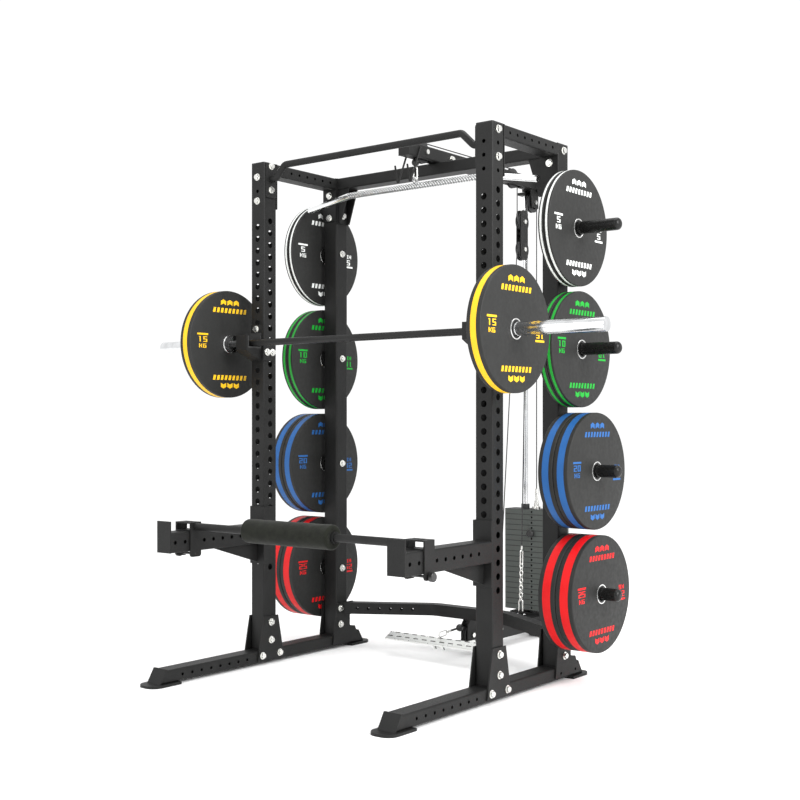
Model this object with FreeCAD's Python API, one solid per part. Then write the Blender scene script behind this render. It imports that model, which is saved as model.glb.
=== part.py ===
import FreeCAD, Part
import math
import os

# Power rack with lat pulldown, weight stack, barbell and plate storage.
# Millimetres. X runs to the right, Y to the rear and Z up. While modelling, Y = 0 is the front
# face of the front uprights and Z = 0 is the floor. At the end the whole assembly is moved so
# that its origin is the bottom centre of its overall box.

V = FreeCAD.Vector

# ---- Driving dimensions: frame ----
rack_width = 1220.0        # over the outer faces of the uprights
rack_height = 2100.0       # floor to the top of the uprights
rack_depth = 460.0         # front face of the front uprights to front face of the rear ones
tube = 75.0                # square upright tube
tube_wall = 3.0
tube_corner = 7.0          # outer corner radius
beam_height = 50.0         # height of the flat beams
plate_thick = 6.0          # bolted brackets and gussets
cap_thick = 4.0            # upright end caps
cap_plug = 3.5             # how far a cap reaches into its tube
foot_thick = 10.0
foot_width = 105.0
rail_front = 525.0         # rail in front of the upright's front face
rail_rear = 75.0           # rail behind the rear upright's rear face
rail_slant = 30.0          # how far the slanted rail ends reach out at the bottom
foot_reach = 50.0          # foot plate past the slanted end
gusset_low = 20.0
gusset_high = 200.0
end_plate_height = 190.0   # plates at the ends of the top beams
low_beam_z = 150.0         # underside of the rear bottom beam
low_beam_depth = 50.0
low_beam_behind = 200.0    # middle of that beam behind the rear uprights' rear faces
low_beam_bend = 190.0      # bends beside the middle
low_beam_radius = 110.0
low_beam_holes = 6
low_hole_first = 45.0      # first hole along the slanted stretch
pull_up_dia = 28.0

# ---- Driving dimensions: holes and fasteners ----
hole_pitch = 50.0
pin_hole = 25.0
small_hole = 15.0
rail_hole = 12.0
first_pin_front = 270.0    # below the top, front face
first_pin_side = 245.0     # below the top, side face
last_pin_height = 400.0    # lowest pin hole above the floor
bolt_thread = 14.0
bolt_head = 24.0
bolt_head_height = 9.0
washer = 30.0
washer_thick = 2.0

# ---- Driving dimensions: clearances ----
soft_gap = 0.3             # between different bodies that face each other
pin_clearance = 0.5        # radial, of locking pins in their holes
running = 0.08             # radial, of wheels and rollers on their axles
slide_clearance = 0.5      # radial, of weight plates on their rods and stem

# ---- Driving dimensions: barbell and plates ----
sleeve_length = 415.0
shaft_dia = 28.0
sleeve_dia = 50.0
collar_rim = 10.0          # collar's rim around the sleeve
collar_gap = 45.0          # collar's inner face outside the uprights
collar_length = 30.0
bar_forward = 50.0         # bar centre in front of the uprights
bar_below_pin = 40.0       # bar centre below the hook's pin
hook_hole = 9              # pin holes from the top one down to the hook's
hook_half = 30.0
hook_back = 8.0            # thickness of the hook's back plate
cup_room = 22.0            # between the bar and the hook's lip
liner_thick = 6.0
disc_dia = 450.0
disc_play = 0.4            # radial, of the discs' bores on a sleeve
hub_rim = 12.6             # steel hub ring around the bore
bar_disc_thick = 60.0
stored_discs = [("red", 75.0), ("blue", 65.0), ("green", 32.0), ("white", 25.0)]
disc_floor_gap = 131.0     # lowest disc above the floor
disc_gap = 20.0            # between one stored disc and the next
peg_play = 1.0             # radial, a peg is this much thinner than a sleeve
peg_length = 250.0
peg_flange = 20.0
peg_round = 16.0           # rounding of a peg's tip

# ---- Driving dimensions: spotter arms and leg roller ----
arm_height = 80.0
arm_hole = 24              # pin holes from the top one down to the arm's upper pin
arm_lower_hole = 27
arm_below_pin = 123.0      # arm's underside below its upper pin
arm_reach = 505.0
arm_tip_rise = 43.0        # end plate above the arm
arm_bracket_drop = 87.0    # bracket below the arm's underside
arm_bracket_rise = 30.0    # bracket above the upper pin
roller_forward = 384.0
roller_bar_dia = 30.0
roller_bar_rise = 16.0     # bar centre above the arm
roller_dia = 92.0
roller_length = 430.0
roller_offset = -25.0
saddle_length = 56.0
saddle_rise = 28.0         # saddle's top plate above the arm
knob_dia = 33.0
knob_pin = 10.0

# ---- Driving dimensions: cable machine ----
# Places along Y are behind the front face of the rear uprights, heights are from the frame's top.
lat_beam = 55.0
lat_beam_ahead = 194.0
front_pulley_ahead = 76.0
head_back = 790.0
column_rear_back = 1015.0
column_depth = 75.0
stack_back = 778.0
low_pulley_back = 270.0
base_beam_back = 325.0
base_pulley_back = 460.0
foot_bar_back = 40.0
pulley_dia = 90.0
pulley_width = 16.0
pulley_bore = 12.0
cable_dia = 5.0
groove_depth = 5.5
beam_pulley_above = 30.0
rear_pulley_below = 60.0
float_upper_below = 160.0
float_spacing = 128.0
low_pulley_dia = 84.0
low_pulley_z = 83.0
base_pulley_dia = 70.0
base_pulley_z = 85.0
stack_width = 300.0
stack_depth = 90.0
stack_count = 19
stack_lifted = 5
stack_pitch = 25.0
stack_seam = 0.3
stack_base = 125.0
rod_dia = 25.0
rod_spread = 62.0
selector_dia = 9.5
selector_past = 9.0        # pin's tip behind the stem's middle
selector_neck = 16.0
selector_knob_dia = 36.0
selector_knob_length = 19.0
selector_knob_back = 3.0   # knob's rear face in front of the stack
selector_seat = 1.0        # neck's rear face in front of the stack
stem_dia = 25.0
stem_hole = 11.0
base_beam_low = 40.0
base_beam_top = 105.0
base_plate_thick = 10.0
base_nose = 18.0           # rise of the beam's underside at its front end
low_anchor_top = 430.0
anchor_side = -34.0        # chain's anchor beside the beam's middle
chain_links = 10
link_wire = 5.0
clip_wire = 6.0
link_play = 0.2            # between two rings that hang in each other
top_clip = 75.0
ferrule_length = 16.0
ferrule_dia = 9.0
lug_eye = 12.0             # eye of the chain's lug above the base beam
housing_half = 19.0        # half width over the cheeks that carry a pulley
cheek_thick = 5.0
block_half = 13.0          # half width of the floating block
block_plate = 4.0
ball_dia = 32.0
ball_rise = 84.7           # stop ball's centre above the lat bar
stem_rise = 96.0           # cable connector's top above the stack
lat_bar_dia = 26.0
lat_bar_inset = 20.0       # bar's ends inside the rack's width
lat_bar_bend = 230.0       # bent stretch at each end
lat_bar_drop = 41.0
lat_bar_below = 115.0
foot_bar_half = 270.0
foot_bar_z = 83.0
foot_bar_size = 52.0
foot_bar_thick = 10.0
foot_bar_tilt = 62.0

# ---- Derived places ----
half_width = rack_width / 2
upright_x = half_width - tube / 2
inner_x = half_width - tube
rear_back = rack_depth + tube
rail_top = foot_thick + beam_height
rail_end_front = -rail_front
rail_end_rear = rear_back + rail_rear
rail_mid_z = foot_thick + beam_height / 2
beam_low = rack_height - beam_height
low_beam_back = rear_back + low_beam_behind

hook_pin_z = rack_height - first_pin_front - hook_hole * hole_pitch
bar_height = hook_pin_z - bar_below_pin
bar_y = -bar_forward
cup_floor = bar_height - shaft_dia / 2 - soft_gap - liner_thick
hook_lip_y = bar_y - shaft_dia / 2 - cup_room
collar_inner = half_width + collar_gap
collar_outer = collar_inner + collar_length
bar_end = collar_outer + sleeve_length
collar_dia = sleeve_dia + 2 * collar_rim
disc_bore = sleeve_dia + 2 * disc_play
hub_dia = disc_bore + 2 * hub_rim
peg_dia = sleeve_dia - 2 * peg_play
peg_y = rack_depth + tube / 2
peg_first = disc_floor_gap + disc_dia / 2
peg_pitch = disc_dia + disc_gap
disc_sag = (disc_bore - peg_dia) / 2 - soft_gap

arm_pin_z = rack_height - first_pin_front - arm_hole * hole_pitch
arm_lower_pin_z = rack_height - first_pin_front - arm_lower_hole * hole_pitch
arm_base = arm_pin_z - arm_below_pin
arm_top = arm_base + arm_height
roller_y = -roller_forward
roller_z = arm_top + roller_bar_rise
knob_z = arm_base - 10.0

lat_front = rack_depth - lat_beam_ahead
front_pulley_y = rack_depth - front_pulley_ahead
head_front = rack_depth + head_back
column_rear = rack_depth + column_rear_back
low_pulley_y = rack_depth + low_pulley_back
base_beam_front = rack_depth + base_beam_back
base_pulley_y = rack_depth + base_pulley_back
foot_bar_y = rack_depth + foot_bar_back
stack_front = rack_depth + stack_back
stack_centre_y = stack_front + stack_depth / 2
stack_top = stack_base + stack_count * stack_pitch
pin_z = stack_base + (stack_count - stack_lifted + 0.5) * stack_pitch
pulley_groove = pulley_dia / 2 - groove_depth + cable_dia / 2 + soft_gap
low_groove = low_pulley_dia / 2 - groove_depth + cable_dia / 2 + soft_gap
base_groove = base_pulley_dia / 2 - groove_depth + cable_dia / 2 + soft_gap
float_y = stack_centre_y - 3 * pulley_groove
middle_pulley_y = float_y - 2 * pulley_groove
rear_pulley_y = float_y + 2 * pulley_groove
anchor_y = float_y + pulley_groove
beam_pulley_z = rack_height + beam_pulley_above
rear_pulley_z = rack_height - rear_pulley_below
float_upper_z = rack_height - float_upper_below
float_lower_z = float_upper_z - float_spacing
lat_drop_y = front_pulley_y - pulley_groove
beam_top = rack_height + lat_beam
lat_bar_z = rack_height - lat_bar_below
lat_bar_half = half_width - lat_bar_inset
lat_bar_straight = lat_bar_half - lat_bar_bend
sleeve_overlap = 1.5
ball_z = lat_bar_z + lat_bar_dia / 2 + ball_rise
stem_top = stack_top + stem_rise
rod_plate = 12.0           # thickness of the plate over the guide rods
rod_high = rack_height - 4.0
head_half = 60.0
slot_half = 13.0
low_row_y = low_pulley_y - 58.0
anchor_low = base_beam_top + 74.0
anchor_top_x = anchor_side * (float_lower_z - low_anchor_top) / (float_lower_z - anchor_low)

pieces = {}


def add(name, *solids):
    """Put solids in the node with this name."""
    pieces.setdefault(name, []).extend(solids)


# ---- Shape helpers ----
def box(x0, x1, y0, y1, z0, z1):
    return Part.makeBox(x1 - x0, y1 - y0, z1 - z0, V(x0, y0, z0))


def rod(start, end, diameter):
    """A round bar between two points."""
    line = V(*end) - V(*start)
    return Part.makeCylinder(diameter / 2, line.Length, V(*start), line)


def ring(start, end, diameter, bore):
    return rod(start, end, diameter).cut(rod(start, end, bore))


def soften(solid, axis, radius):
    """Round the edges that run along one axis."""
    edges = []
    for edge in solid.Edges:
        if abs(edge.tangentAt(edge.FirstParameter).dot(axis)) > 0.99:
            edges.append(edge)
    return solid.makeFillet(radius, edges)


def long_tube(x0, x1, y0, y1, z0, z1, axis, wall=tube_wall, corner=tube_corner):
    """A hollow rectangular tube that runs along one axis and is open at both ends."""
    outer = soften(box(x0, x1, y0, y1, z0, z1), axis, corner)
    side_x = 0 if axis.x else wall
    side_y = 0 if axis.y else wall
    side_z = 0 if axis.z else wall
    hollow = box(x0 + side_x, x1 - side_x, y0 + side_y, y1 - side_y, z0 + side_z, z1 - side_z)
    return outer.cut(soften(hollow, axis, corner - wall))


def prism(outline, axis, start, thickness):
    """A flat plate from its outline: (y, z) points along X, or (x, z) points along Y."""
    if axis == "X":
        points = [V(start, a, b) for a, b in outline]
        direction = V(thickness, 0, 0)
    else:
        points = [V(a, start, b) for a, b in outline]
        direction = V(0, thickness, 0)
    return Part.Face(Part.makePolygon(points + [points[0]])).extrude(direction)


def smooth_path(points, radius):
    """Straight runs joined by tangent arcs of one radius."""
    nodes = [V(*p) for p in points]
    edges = []
    last = nodes[0]
    for before, corner, after in zip(nodes, nodes[1:], nodes[2:]):
        into = (corner - before).normalize()
        out = (after - corner).normalize()
        turn = into.getAngle(out)
        reach = radius * math.tan(turn / 2)
        start = corner - into * reach
        end = corner + out * reach
        inward = (out - into).normalize()
        middle = corner + inward * (radius / math.cos(turn / 2) - radius)
        edges.append(Part.LineSegment(last, start).toShape())
        edges.append(Part.Arc(start, middle, end).toShape())
        last = end
    edges.append(Part.LineSegment(last, nodes[-1]).toShape())
    return Part.Wire(edges)


def sweep_round(path, diameter):
    start = path.Edges[0]
    direction = start.tangentAt(start.FirstParameter)
    circle = Part.Wire(Part.makeCircle(diameter / 2, start.valueAt(start.FirstParameter), direction))
    return path.makePipeShell([circle], True, False)


def bent_rod(points, diameter, radius):
    return sweep_round(smooth_path(points, radius), diameter)


def mirrored(solid):
    return solid.mirror(V(0, 0, 0), V(1, 0, 0))


bolt_shanks = []


def bolt(place, direction, grip=12.0):
    """A hex bolt head on its washer. Its shank reaches in, and its hole is drilled later."""
    way = V(*direction)
    at = V(*place)
    seat = Part.makeCylinder(washer / 2, washer_thick, at, way)
    base = Part.makeCircle(bolt_head / 2, at + way * washer_thick, way)
    corners = [base.valueAt(math.radians(60 * step)) for step in range(6)]
    head = Part.Face(Part.makePolygon(corners + [corners[0]])).extrude(way * bolt_head_height)
    dome = Part.makeCone(bolt_head / 2 + 6, bolt_head / 2 - 2, bolt_head_height + 1,
                         at + way * (washer_thick - 1), way)
    shank = Part.makeCylinder(bolt_thread / 2, grip, at - way * grip, way)
    bolt_shanks.append(Part.makeCylinder(small_hole / 2, grip + 1, at - way * (grip + 0.5), way))
    return seat.fuse([head.common(dome), shank]).removeSplitter()


def drill_for_bolts(names):
    """Drill every piece that a bolt passes through."""
    for name in names:
        drilled = []
        for solid in pieces[name]:
            cutters = [hole for hole in bolt_shanks if hole.BoundBox.intersect(solid.BoundBox)]
            drilled.append(solid.cut(cutters) if cutters else solid)
        pieces[name] = drilled


# ---- Frame ----
def hole_heights(first_below_top):
    heights = []
    height = rack_height - first_below_top
    while height >= last_pin_height:
        heights.append(height)
        height -= hole_pitch
    return heights


def upright(side, front_y, drilled):
    """One square post; the front ones carry rows of pin holes on two faces."""
    x = side * upright_x
    half = tube / 2
    y = front_y + half
    top = rack_height - cap_thick
    body = long_tube(x - half, x + half, front_y, front_y + tube, rail_top, top, V(0, 0, 1))
    if not drilled:
        z = rack_height - 125
        return body.cut(rod((x, front_y - 1, z), (x, y, z), small_hole))
    cuts = []
    for z in hole_heights(first_pin_front):
        cuts.append(rod((x, front_y - 1, z), (x, front_y + tube + 1, z), pin_hole))
    for z in hole_heights(first_pin_side):
        cuts.append(rod((x - half - 1, y, z), (x + half + 1, y, z), pin_hole))
    for step in range(3):
        z = rack_height - 70 - step * hole_pitch
        cuts.append(rod((x, front_y - 1, z), (x, y, z), small_hole))
    for step in (1, 3):
        z = rack_height - 25 - step * hole_pitch
        cuts.append(rod((x, y, z), (x + side * tube, y, z), small_hole))
    return body.cut(cuts)


def upright_cap(side, front_y):
    x = side * upright_x
    half = tube / 2
    lid = box(x - half, x + half, front_y, front_y + tube, rack_height - cap_thick, rack_height)
    inset = tube_wall + soft_gap
    plug = box(x - half + inset, x + half - inset, front_y + inset, front_y + tube - inset,
               rack_height - cap_thick - cap_plug, rack_height - cap_thick)
    plug = soften(plug, V(0, 0, 1), tube_corner - tube_wall)
    return soften(lid, V(0, 0, 1), tube_corner).fuse(plug).removeSplitter()


def base_rail(side):
    """A flat beam along the floor, with slanted ends and a row of holes."""
    x = side * upright_x
    half = tube / 2
    far = rail_slant + 1
    body = long_tube(x - half, x + half, rail_end_front - far, rail_end_rear + far,
                     foot_thick, rail_top, V(0, 1, 0))
    cuts = []
    for end, way in ((rail_end_front, -1), (rail_end_rear, 1)):
        outline = [(end, rail_top), (end + way * rail_slant, foot_thick),
                   (end + way * (far + 1), foot_thick), (end + way * (far + 1), rail_top)]
        cuts.append(prism(outline, "X", x - tube, 2 * tube))
    rows = [rail_end_front + 78 + step * hole_pitch for step in range(8)]
    rows += [rack_depth + 10, rear_back + 45]
    for y in rows:
        cuts.append(rod((x - tube, y, rail_mid_z), (x + tube, y, rail_mid_z), rail_hole))
    return body.cut(cuts)


def foot(side, end, outward):
    """A foot plate with a round tip, and the slanted plate that closes the rail's end."""
    x = side * upright_x
    half = foot_width / 2
    tip = end + outward * (rail_slant + foot_reach)
    heel = end - outward * 60
    sole = box(x - half, x + half, min(tip, heel), max(tip, heel), 0, foot_thick)
    corners = []
    for edge in sole.Edges:
        upward = abs(edge.tangentAt(edge.FirstParameter).z) > 0.99
        if upward and abs(edge.CenterOfMass.y - tip) < 1:
            corners.append(edge)
    sole = sole.makeFillet(half * 0.8, corners)
    rise = 4.0
    low = end + outward * rail_slant
    high = end - outward * rise * rail_slant / beam_height
    thick = outward * plate_thick
    outline = [(low, foot_thick), (high, rail_top + rise),
               (high + thick, rail_top + rise), (low + thick, foot_thick)]
    return sole.fuse(prism(outline, "X", x - tube / 2, tube)).removeSplitter()


def base_gusset(side, outer, front_y):
    """A trapezoid plate bolted to one side of a front upright and to the rail."""
    outline = [(front_y - 40, gusset_low), (front_y + tube + 40, gusset_low),
               (front_y + tube + 5, gusset_high), (front_y - 5, gusset_high)]
    start = half_width if outer else inner_x - plate_thick
    plate = prism(outline, "X", start, plate_thick)
    return plate if side > 0 else mirrored(plate)


def rear_gusset(side, outer):
    """A rear gusset runs on to the rail's end; the inner one also carries the rear bottom beam."""
    tail = rail_end_rear + 5
    outline = [(rack_depth - 30, gusset_low), (tail, gusset_low), (tail - 35, 88), (rear_back + 10, 94)]
    if outer:
        outline += [(rear_back + 5, gusset_high), (rack_depth - 5, gusset_high)]
    else:
        over_beam = low_beam_z + beam_height + 2
        outline += [(rear_back + 10, low_beam_z - 8), (rear_back + 32, low_beam_z - 4),
                    (rear_back + 32, over_beam), (rack_depth - 5, over_beam)]
    start = half_width if outer else inner_x - plate_thick
    plate = prism(outline, "X", start, plate_thick)
    if outer:
        end = start + plate_thick + 1
        holes = [rod((start - 1, y, rail_mid_z), (end, y, rail_mid_z), rail_hole)
                 for y in (rack_depth + 10, rear_back + 45)]
        plate = plate.cut(holes)
    return plate if side > 0 else mirrored(plate)


def side_crossmember(side):
    """The short top beam between the front and rear uprights, and its two end plates."""
    x = side * upright_x
    half = tube / 2
    body = long_tube(x - half, x + half, tube + plate_thick, rack_depth - plate_thick,
                     beam_low, rack_height, V(0, 1, 0))
    middle = (tube + rack_depth) / 2
    z = rack_height - beam_height / 2
    cuts = []
    for step in range(-3, 4):
        y = middle + step * hole_pitch
        cuts.append(rod((x - tube, y, z), (x + tube, y, z), rail_hole))
    low = rack_height - end_plate_height
    ends = [box(x - half, x + half, tube, tube + plate_thick, low, rack_height),
            box(x - half, x + half, rack_depth - plate_thick, rack_depth, low, rack_height)]
    return [body.cut(cuts)] + ends


def rear_top_crossmember():
    """The beam between the rear uprights, its end plates and the webs in the corners below it."""
    end = inner_x - plate_thick
    low = rack_height - end_plate_height - 10
    body = long_tube(-end, end, rack_depth, rear_back, beam_low, rack_height, V(1, 0, 0))
    extra = []
    for side in (-1, 1):
        a, b = sorted((side * end, side * inner_x))
        extra.append(box(a, b, rack_depth, rear_back, low, rack_height))
        web = [(side * end, beam_low), (side * end, low),
               (side * (end - 12), low), (side * (end - 60), beam_low)]
        extra.append(prism(web, "Y", rack_depth + plate_thick, plate_thick))
        extra.append(prism(web, "Y", rear_back - 2 * plate_thick, plate_thick))
    return [body] + extra


def pull_up_bar():
    """A round bar with bent-up ends, welded to plates on the front uprights' inner faces."""
    y = tube / 2
    end = inner_x - plate_thick
    low, high = rack_height - 70, rack_height - 18
    points = [(-end, y, low), (-end + 25, y, low), (-end + 80, y, high), (end - 80, y, high),
              (end - 25, y, low), (end, y, low)]
    bar = bent_rod(points, pull_up_dia, 24.0)
    plates = []
    for side in (-1, 1):
        a, b = sorted((side * end, side * inner_x))
        plate = box(a, b, y - 30, y + 30, rack_height - 148, rack_height - cap_thick)
        plates.append(soften(plate, V(1, 0, 0), 8))
    return bar.fuse(plates).removeSplitter()


def sweep_rectangle(points, radius, width, height):
    """A rectangle swept along a level path that starts along X."""
    path = smooth_path(points, radius)
    start = path.Edges[0]
    at = start.valueAt(start.FirstParameter)
    along = start.tangentAt(start.FirstParameter)
    across = V(-along.y, along.x, 0) * (width / 2)
    up = V(0, 0, height / 2)
    corners = [at - across - up, at + across - up, at + across + up, at - across + up]
    profile = Part.Wire(Part.makePolygon(corners + [corners[0]]))
    return path.makePipeShell([profile], True, False)


def rear_bottom_crossmember():
    """The low rear beam, bent back in a trapezoid round the low pulley."""
    start = inner_x - plate_thick
    y = rear_back - 3
    z = low_beam_z + beam_height / 2
    slope = (low_beam_back - y) / (start - low_beam_bend)
    far = start + 60
    points = [(-far, y - 60 * slope, z), (-low_beam_bend, low_beam_back, z),
              (low_beam_bend, low_beam_back, z), (far, y - 60 * slope, z)]
    outer = sweep_rectangle(points, low_beam_radius, low_beam_depth, beam_height)
    inner = sweep_rectangle(points, low_beam_radius, low_beam_depth - 2 * tube_wall,
                            beam_height - 2 * tube_wall)
    body = outer.cut(inner)
    cuts = []
    for side in (-1, 1):
        a, b = sorted((side * start, side * (far + 60)))
        cuts.append(box(a, b, rack_depth - 200, low_beam_back, 0, 2 * low_beam_z))
    stretch = math.hypot(1, slope)
    way = V(slope / stretch, -1 / stretch, 0)
    for step in range(low_beam_holes):
        along = (low_hole_first + step * hole_pitch) / stretch
        middle = V(-start + along, y + along * slope, z)
        cuts.append(Part.makeCylinder(rail_hole / 2, 120, middle - way * 60, way))
    return body.cut(cuts).removeSplitter()


def storage_peg(side, z):
    """A round peg and its flange on the rear upright's outer face."""
    base = side * half_width
    tip = side * (half_width + peg_length)
    flange = ring((base, peg_y, z), (base + side * peg_flange, peg_y, z), tube, peg_dia)
    shank = rod((base, peg_y, z), (tip, peg_y, z), peg_dia)
    rim = [edge for edge in shank.Edges if abs(edge.CenterOfMass.x - tip) < 0.1 and edge.Length > peg_dia * 3]
    return [flange, shank.makeFillet(peg_round, rim)]


def disc(x0, x1, y, z):
    """A bumper plate with its steel hub ring."""
    low, high = min(x0, x1), max(x0, x1)
    body = rod((low, y, z), (high, y, z), disc_dia)
    rims = [edge for edge in body.Edges if abs(edge.Length - math.pi * disc_dia) < 1]
    body = body.makeFillet(4.0, rims).cut(rod((low, y, z), (high, y, z), hub_dia))
    return [body, ring((low, y, z), (high, y, z), hub_dia, disc_bore)]


# ---- Hooks and arms ----
def j_hook(side):
    """A hook that holds the barbell: back plate with a pin, inner wrap, cup floor and front lip."""
    x0, x1 = upright_x - hook_half, upright_x + hook_half
    inside = inner_x - plate_thick
    back = box(inside, x1, -hook_back, 0, bar_height - 70, hook_pin_z + 40)
    wrap = box(inside, inner_x, -hook_back, 60, bar_height - 70, bar_height)
    outline = [(-hook_back, cup_floor), (hook_lip_y, cup_floor), (hook_lip_y - 8, cup_floor + 12),
               (hook_lip_y - 8, cup_floor - 10), (hook_lip_y + 46, cup_floor - 36),
               (-hook_back, cup_floor - 50)]
    floor = prism(outline, "X", x0, x1 - x0)
    lip = box(x0, x1, hook_lip_y - 8, hook_lip_y, cup_floor, cup_floor + 52)
    pin = rod((upright_x, 0, hook_pin_z), (upright_x, 60, hook_pin_z), pin_hole - 2 * pin_clearance)
    hook = back.fuse([wrap, floor, lip, pin]).removeSplitter()
    return hook if side > 0 else mirrored(hook)


def j_hook_liner(side):
    """The plastic lining of the hook's cup."""
    x0, x1 = upright_x - hook_half, upright_x + hook_half
    pad = box(x0, x1, hook_lip_y, -hook_back, cup_floor, cup_floor + liner_thick)
    back = box(x0, x1, -hook_back - liner_thick, -hook_back, cup_floor + liner_thick, hook_pin_z + 4)
    front = box(x0, x1, hook_lip_y, hook_lip_y + liner_thick, cup_floor + liner_thick, cup_floor + 50)
    liner = pad.fuse([back, front]).removeSplitter()
    return liner if side > 0 else mirrored(liner)


def spotter_arm(side):
    """A drilled arm on a bracket that wraps the upright, with two locking pins and a web below."""
    x = upright_x
    half = tube / 2
    body = long_tube(x - half, x + half, -arm_reach, -plate_thick, arm_base, arm_top, V(0, 1, 0))
    cuts = []
    z = (arm_base + arm_top) / 2
    for step in range(9):
        y = -arm_reach + 21 + step * hole_pitch
        cuts.append(rod((x - tube, y, z), (x + tube, y, z), small_hole))
    tip = box(x - half, x + half, -arm_reach - plate_thick, -arm_reach, arm_base, arm_top + arm_tip_rise)
    low, high = arm_base - arm_bracket_drop, arm_pin_z + arm_bracket_rise
    back = box(x - half - plate_thick, x + half, -plate_thick, 0, low, high)
    wrap = box(x - half - plate_thick, x - half, -plate_thick, tube - 15, low, high)
    web = prism([(-plate_thick, arm_base), (-260, arm_base), (-plate_thick, low + 8)],
                "X", x - plate_thick / 2, plate_thick)
    pins = []
    for z in (arm_pin_z, arm_lower_pin_z):
        pins.append(rod((x, 0, z), (x, tube - 15, z), pin_hole - 2 * pin_clearance))
    arm = body.cut(cuts).fuse([tip, back, wrap, web] + pins).removeSplitter()
    return arm if side > 0 else mirrored(arm)


def rounded_foot(wall, low):
    """Round the two bottom corners of a side wall."""
    edges = []
    for edge in wall.Edges:
        if abs(edge.tangentAt(edge.FirstParameter).x) > 0.99 and abs(edge.CenterOfMass.z - low) < 1:
            edges.append(edge)
    return wall.makeFillet(12.0, edges)


def roller_saddle(side):
    """An inverted U over the spotter arm that carries the end of the roller's bar."""
    x = upright_x
    half = tube / 2 + soft_gap
    y0 = roller_y - saddle_length / 2
    y1 = y0 + saddle_length
    low = arm_base - 22
    top = arm_top + saddle_rise
    walls = []
    for a in (x - half - plate_thick, x + half):
        walls.append(rounded_foot(box(a, a + plate_thick, y0, y1, low, top + plate_thick), low))
    lid = box(x - half, x + half, y0, y1, top, top + plate_thick)
    slot = box(x - 24, x + 24, roller_y - 8, roller_y + 8, top - 1, top + plate_thick + 1)
    pad = box(x - half, x + half, y0, y1, arm_top + soft_gap, arm_top + 4)
    inner_end = x - half - plate_thick
    cuts = [rod((inner_end - 1, roller_y, roller_z), (inner_x + 1, roller_y, roller_z),
                roller_bar_dia + 2 * running),
            rod((inner_end - 1, roller_y, knob_z), (x + tube, roller_y, knob_z),
                knob_pin + 2 * pin_clearance)]
    solid = walls[0].fuse([walls[1], lid.cut(slot), pad]).removeSplitter().cut(cuts)
    return solid if side > 0 else mirrored(solid)


def roller_bar():
    """The bar between the saddles, with the two rings that keep the roller in place."""
    end = inner_x - soft_gap
    solids = [rod((-end, roller_y, roller_z), (end, roller_y, roller_z), roller_bar_dia)]
    for way in (-1, 1):
        near = roller_offset + way * (roller_length / 2 + soft_gap)
        far = near + way * 10
        solids.append(ring((near, roller_y, roller_z), (far, roller_y, roller_z), roller_bar_dia + 14,
                           roller_bar_dia + 2 * running))
    return solids


def foam_roller():
    """The foam and the tube that it is glued on."""
    x0 = roller_offset - roller_length / 2
    x1 = roller_offset + roller_length / 2
    core_dia = roller_bar_dia + 8
    foam = ring((x0, roller_y, roller_z), (x1, roller_y, roller_z), roller_dia, core_dia)
    foam = foam.makeFillet(6.0, [e for e in foam.Edges if abs(e.Length - math.pi * roller_dia) < 1])
    core = ring((x0, roller_y, roller_z), (x1, roller_y, roller_z), core_dia, roller_bar_dia + 2 * running)
    return [foam, core]


def saddle_knob(side):
    """The round knob and pin that lock the saddle under the arm."""
    wall = upright_x + tube / 2 + soft_gap + plate_thick
    near, far = wall + 2, wall + 20
    knob = rod((near, roller_y, knob_z), (far, roller_y, knob_z), knob_dia)
    knob = knob.makeFillet(4.0, [e for e in knob.Edges if abs(e.Length - math.pi * knob_dia) < 1])
    pin = rod((wall - tube - 2 * plate_thick, roller_y, knob_z), (near, roller_y, knob_z), knob_pin)
    solid = knob.fuse(pin).removeSplitter()
    return solid if side > 0 else mirrored(solid)


# ---- Cable machine ----
def pulley(y, z, diameter):
    """A grooved wheel that turns about X."""
    r = diameter / 2
    half = pulley_width / 2
    hole = pulley_bore / 2 + running
    floor = r - groove_depth
    profile = [(-half, hole), (-half, r), (-5, r), (-3.4, floor),
               (3.4, floor), (5, r), (half, r), (half, hole)]
    points = [V(a, b, 0) for a, b in profile]
    wheel = Part.Face(Part.makePolygon(points + [points[0]])).revolve(V(0, 0, 0), V(1, 0, 0), 360)
    windows = []
    middle = (hole + floor) / 2 + 1
    for step in range(5):
        angle = math.radians(72 * step)
        a, b = middle * math.cos(angle), middle * math.sin(angle)
        windows.append(rod((-half - 1, a, b), (half + 1, a, b), (floor - hole) * 0.42))
    wheel = wheel.cut(windows)
    wheel.translate(V(0, y, z))
    return wheel


def axle(x_half, y, z):
    """A pulley's axle bolt: shank with a head at one end and a nut at the other."""
    shank = rod((-x_half, y, z), (x_half, y, z), pulley_bore)
    head = rod((x_half, y, z), (x_half + 7, y, z), 20)
    nut = rod((-x_half - 9, y, z), (-x_half, y, z), 19)
    return shank.fuse([head, nut]).removeSplitter()


def lat_arm():
    """The long beam over the rack, slotted for two pulleys."""
    half = lat_beam / 2
    body = long_tube(-half, half, lat_front, head_front, rack_height, beam_top, V(0, 1, 0), 3.0, 6.0)
    nose = box(-half, half, lat_front - 3, lat_front, rack_height, beam_top)
    reach = pulley_dia / 2 + 6
    cuts = [box(-slot_half, slot_half, front_pulley_y - reach, front_pulley_y + reach,
                rack_height - 1, beam_top + 1),
            box(-slot_half, slot_half, middle_pulley_y - reach, middle_pulley_y + reach + 30,
                rack_height - 1, beam_top + 1)]
    for y in (front_pulley_y, middle_pulley_y):
        cuts.append(rod((-half - 1, y, beam_pulley_z), (half + 1, y, beam_pulley_z), pulley_bore))
    return body.cut(cuts).fuse(nose).removeSplitter()


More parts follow.
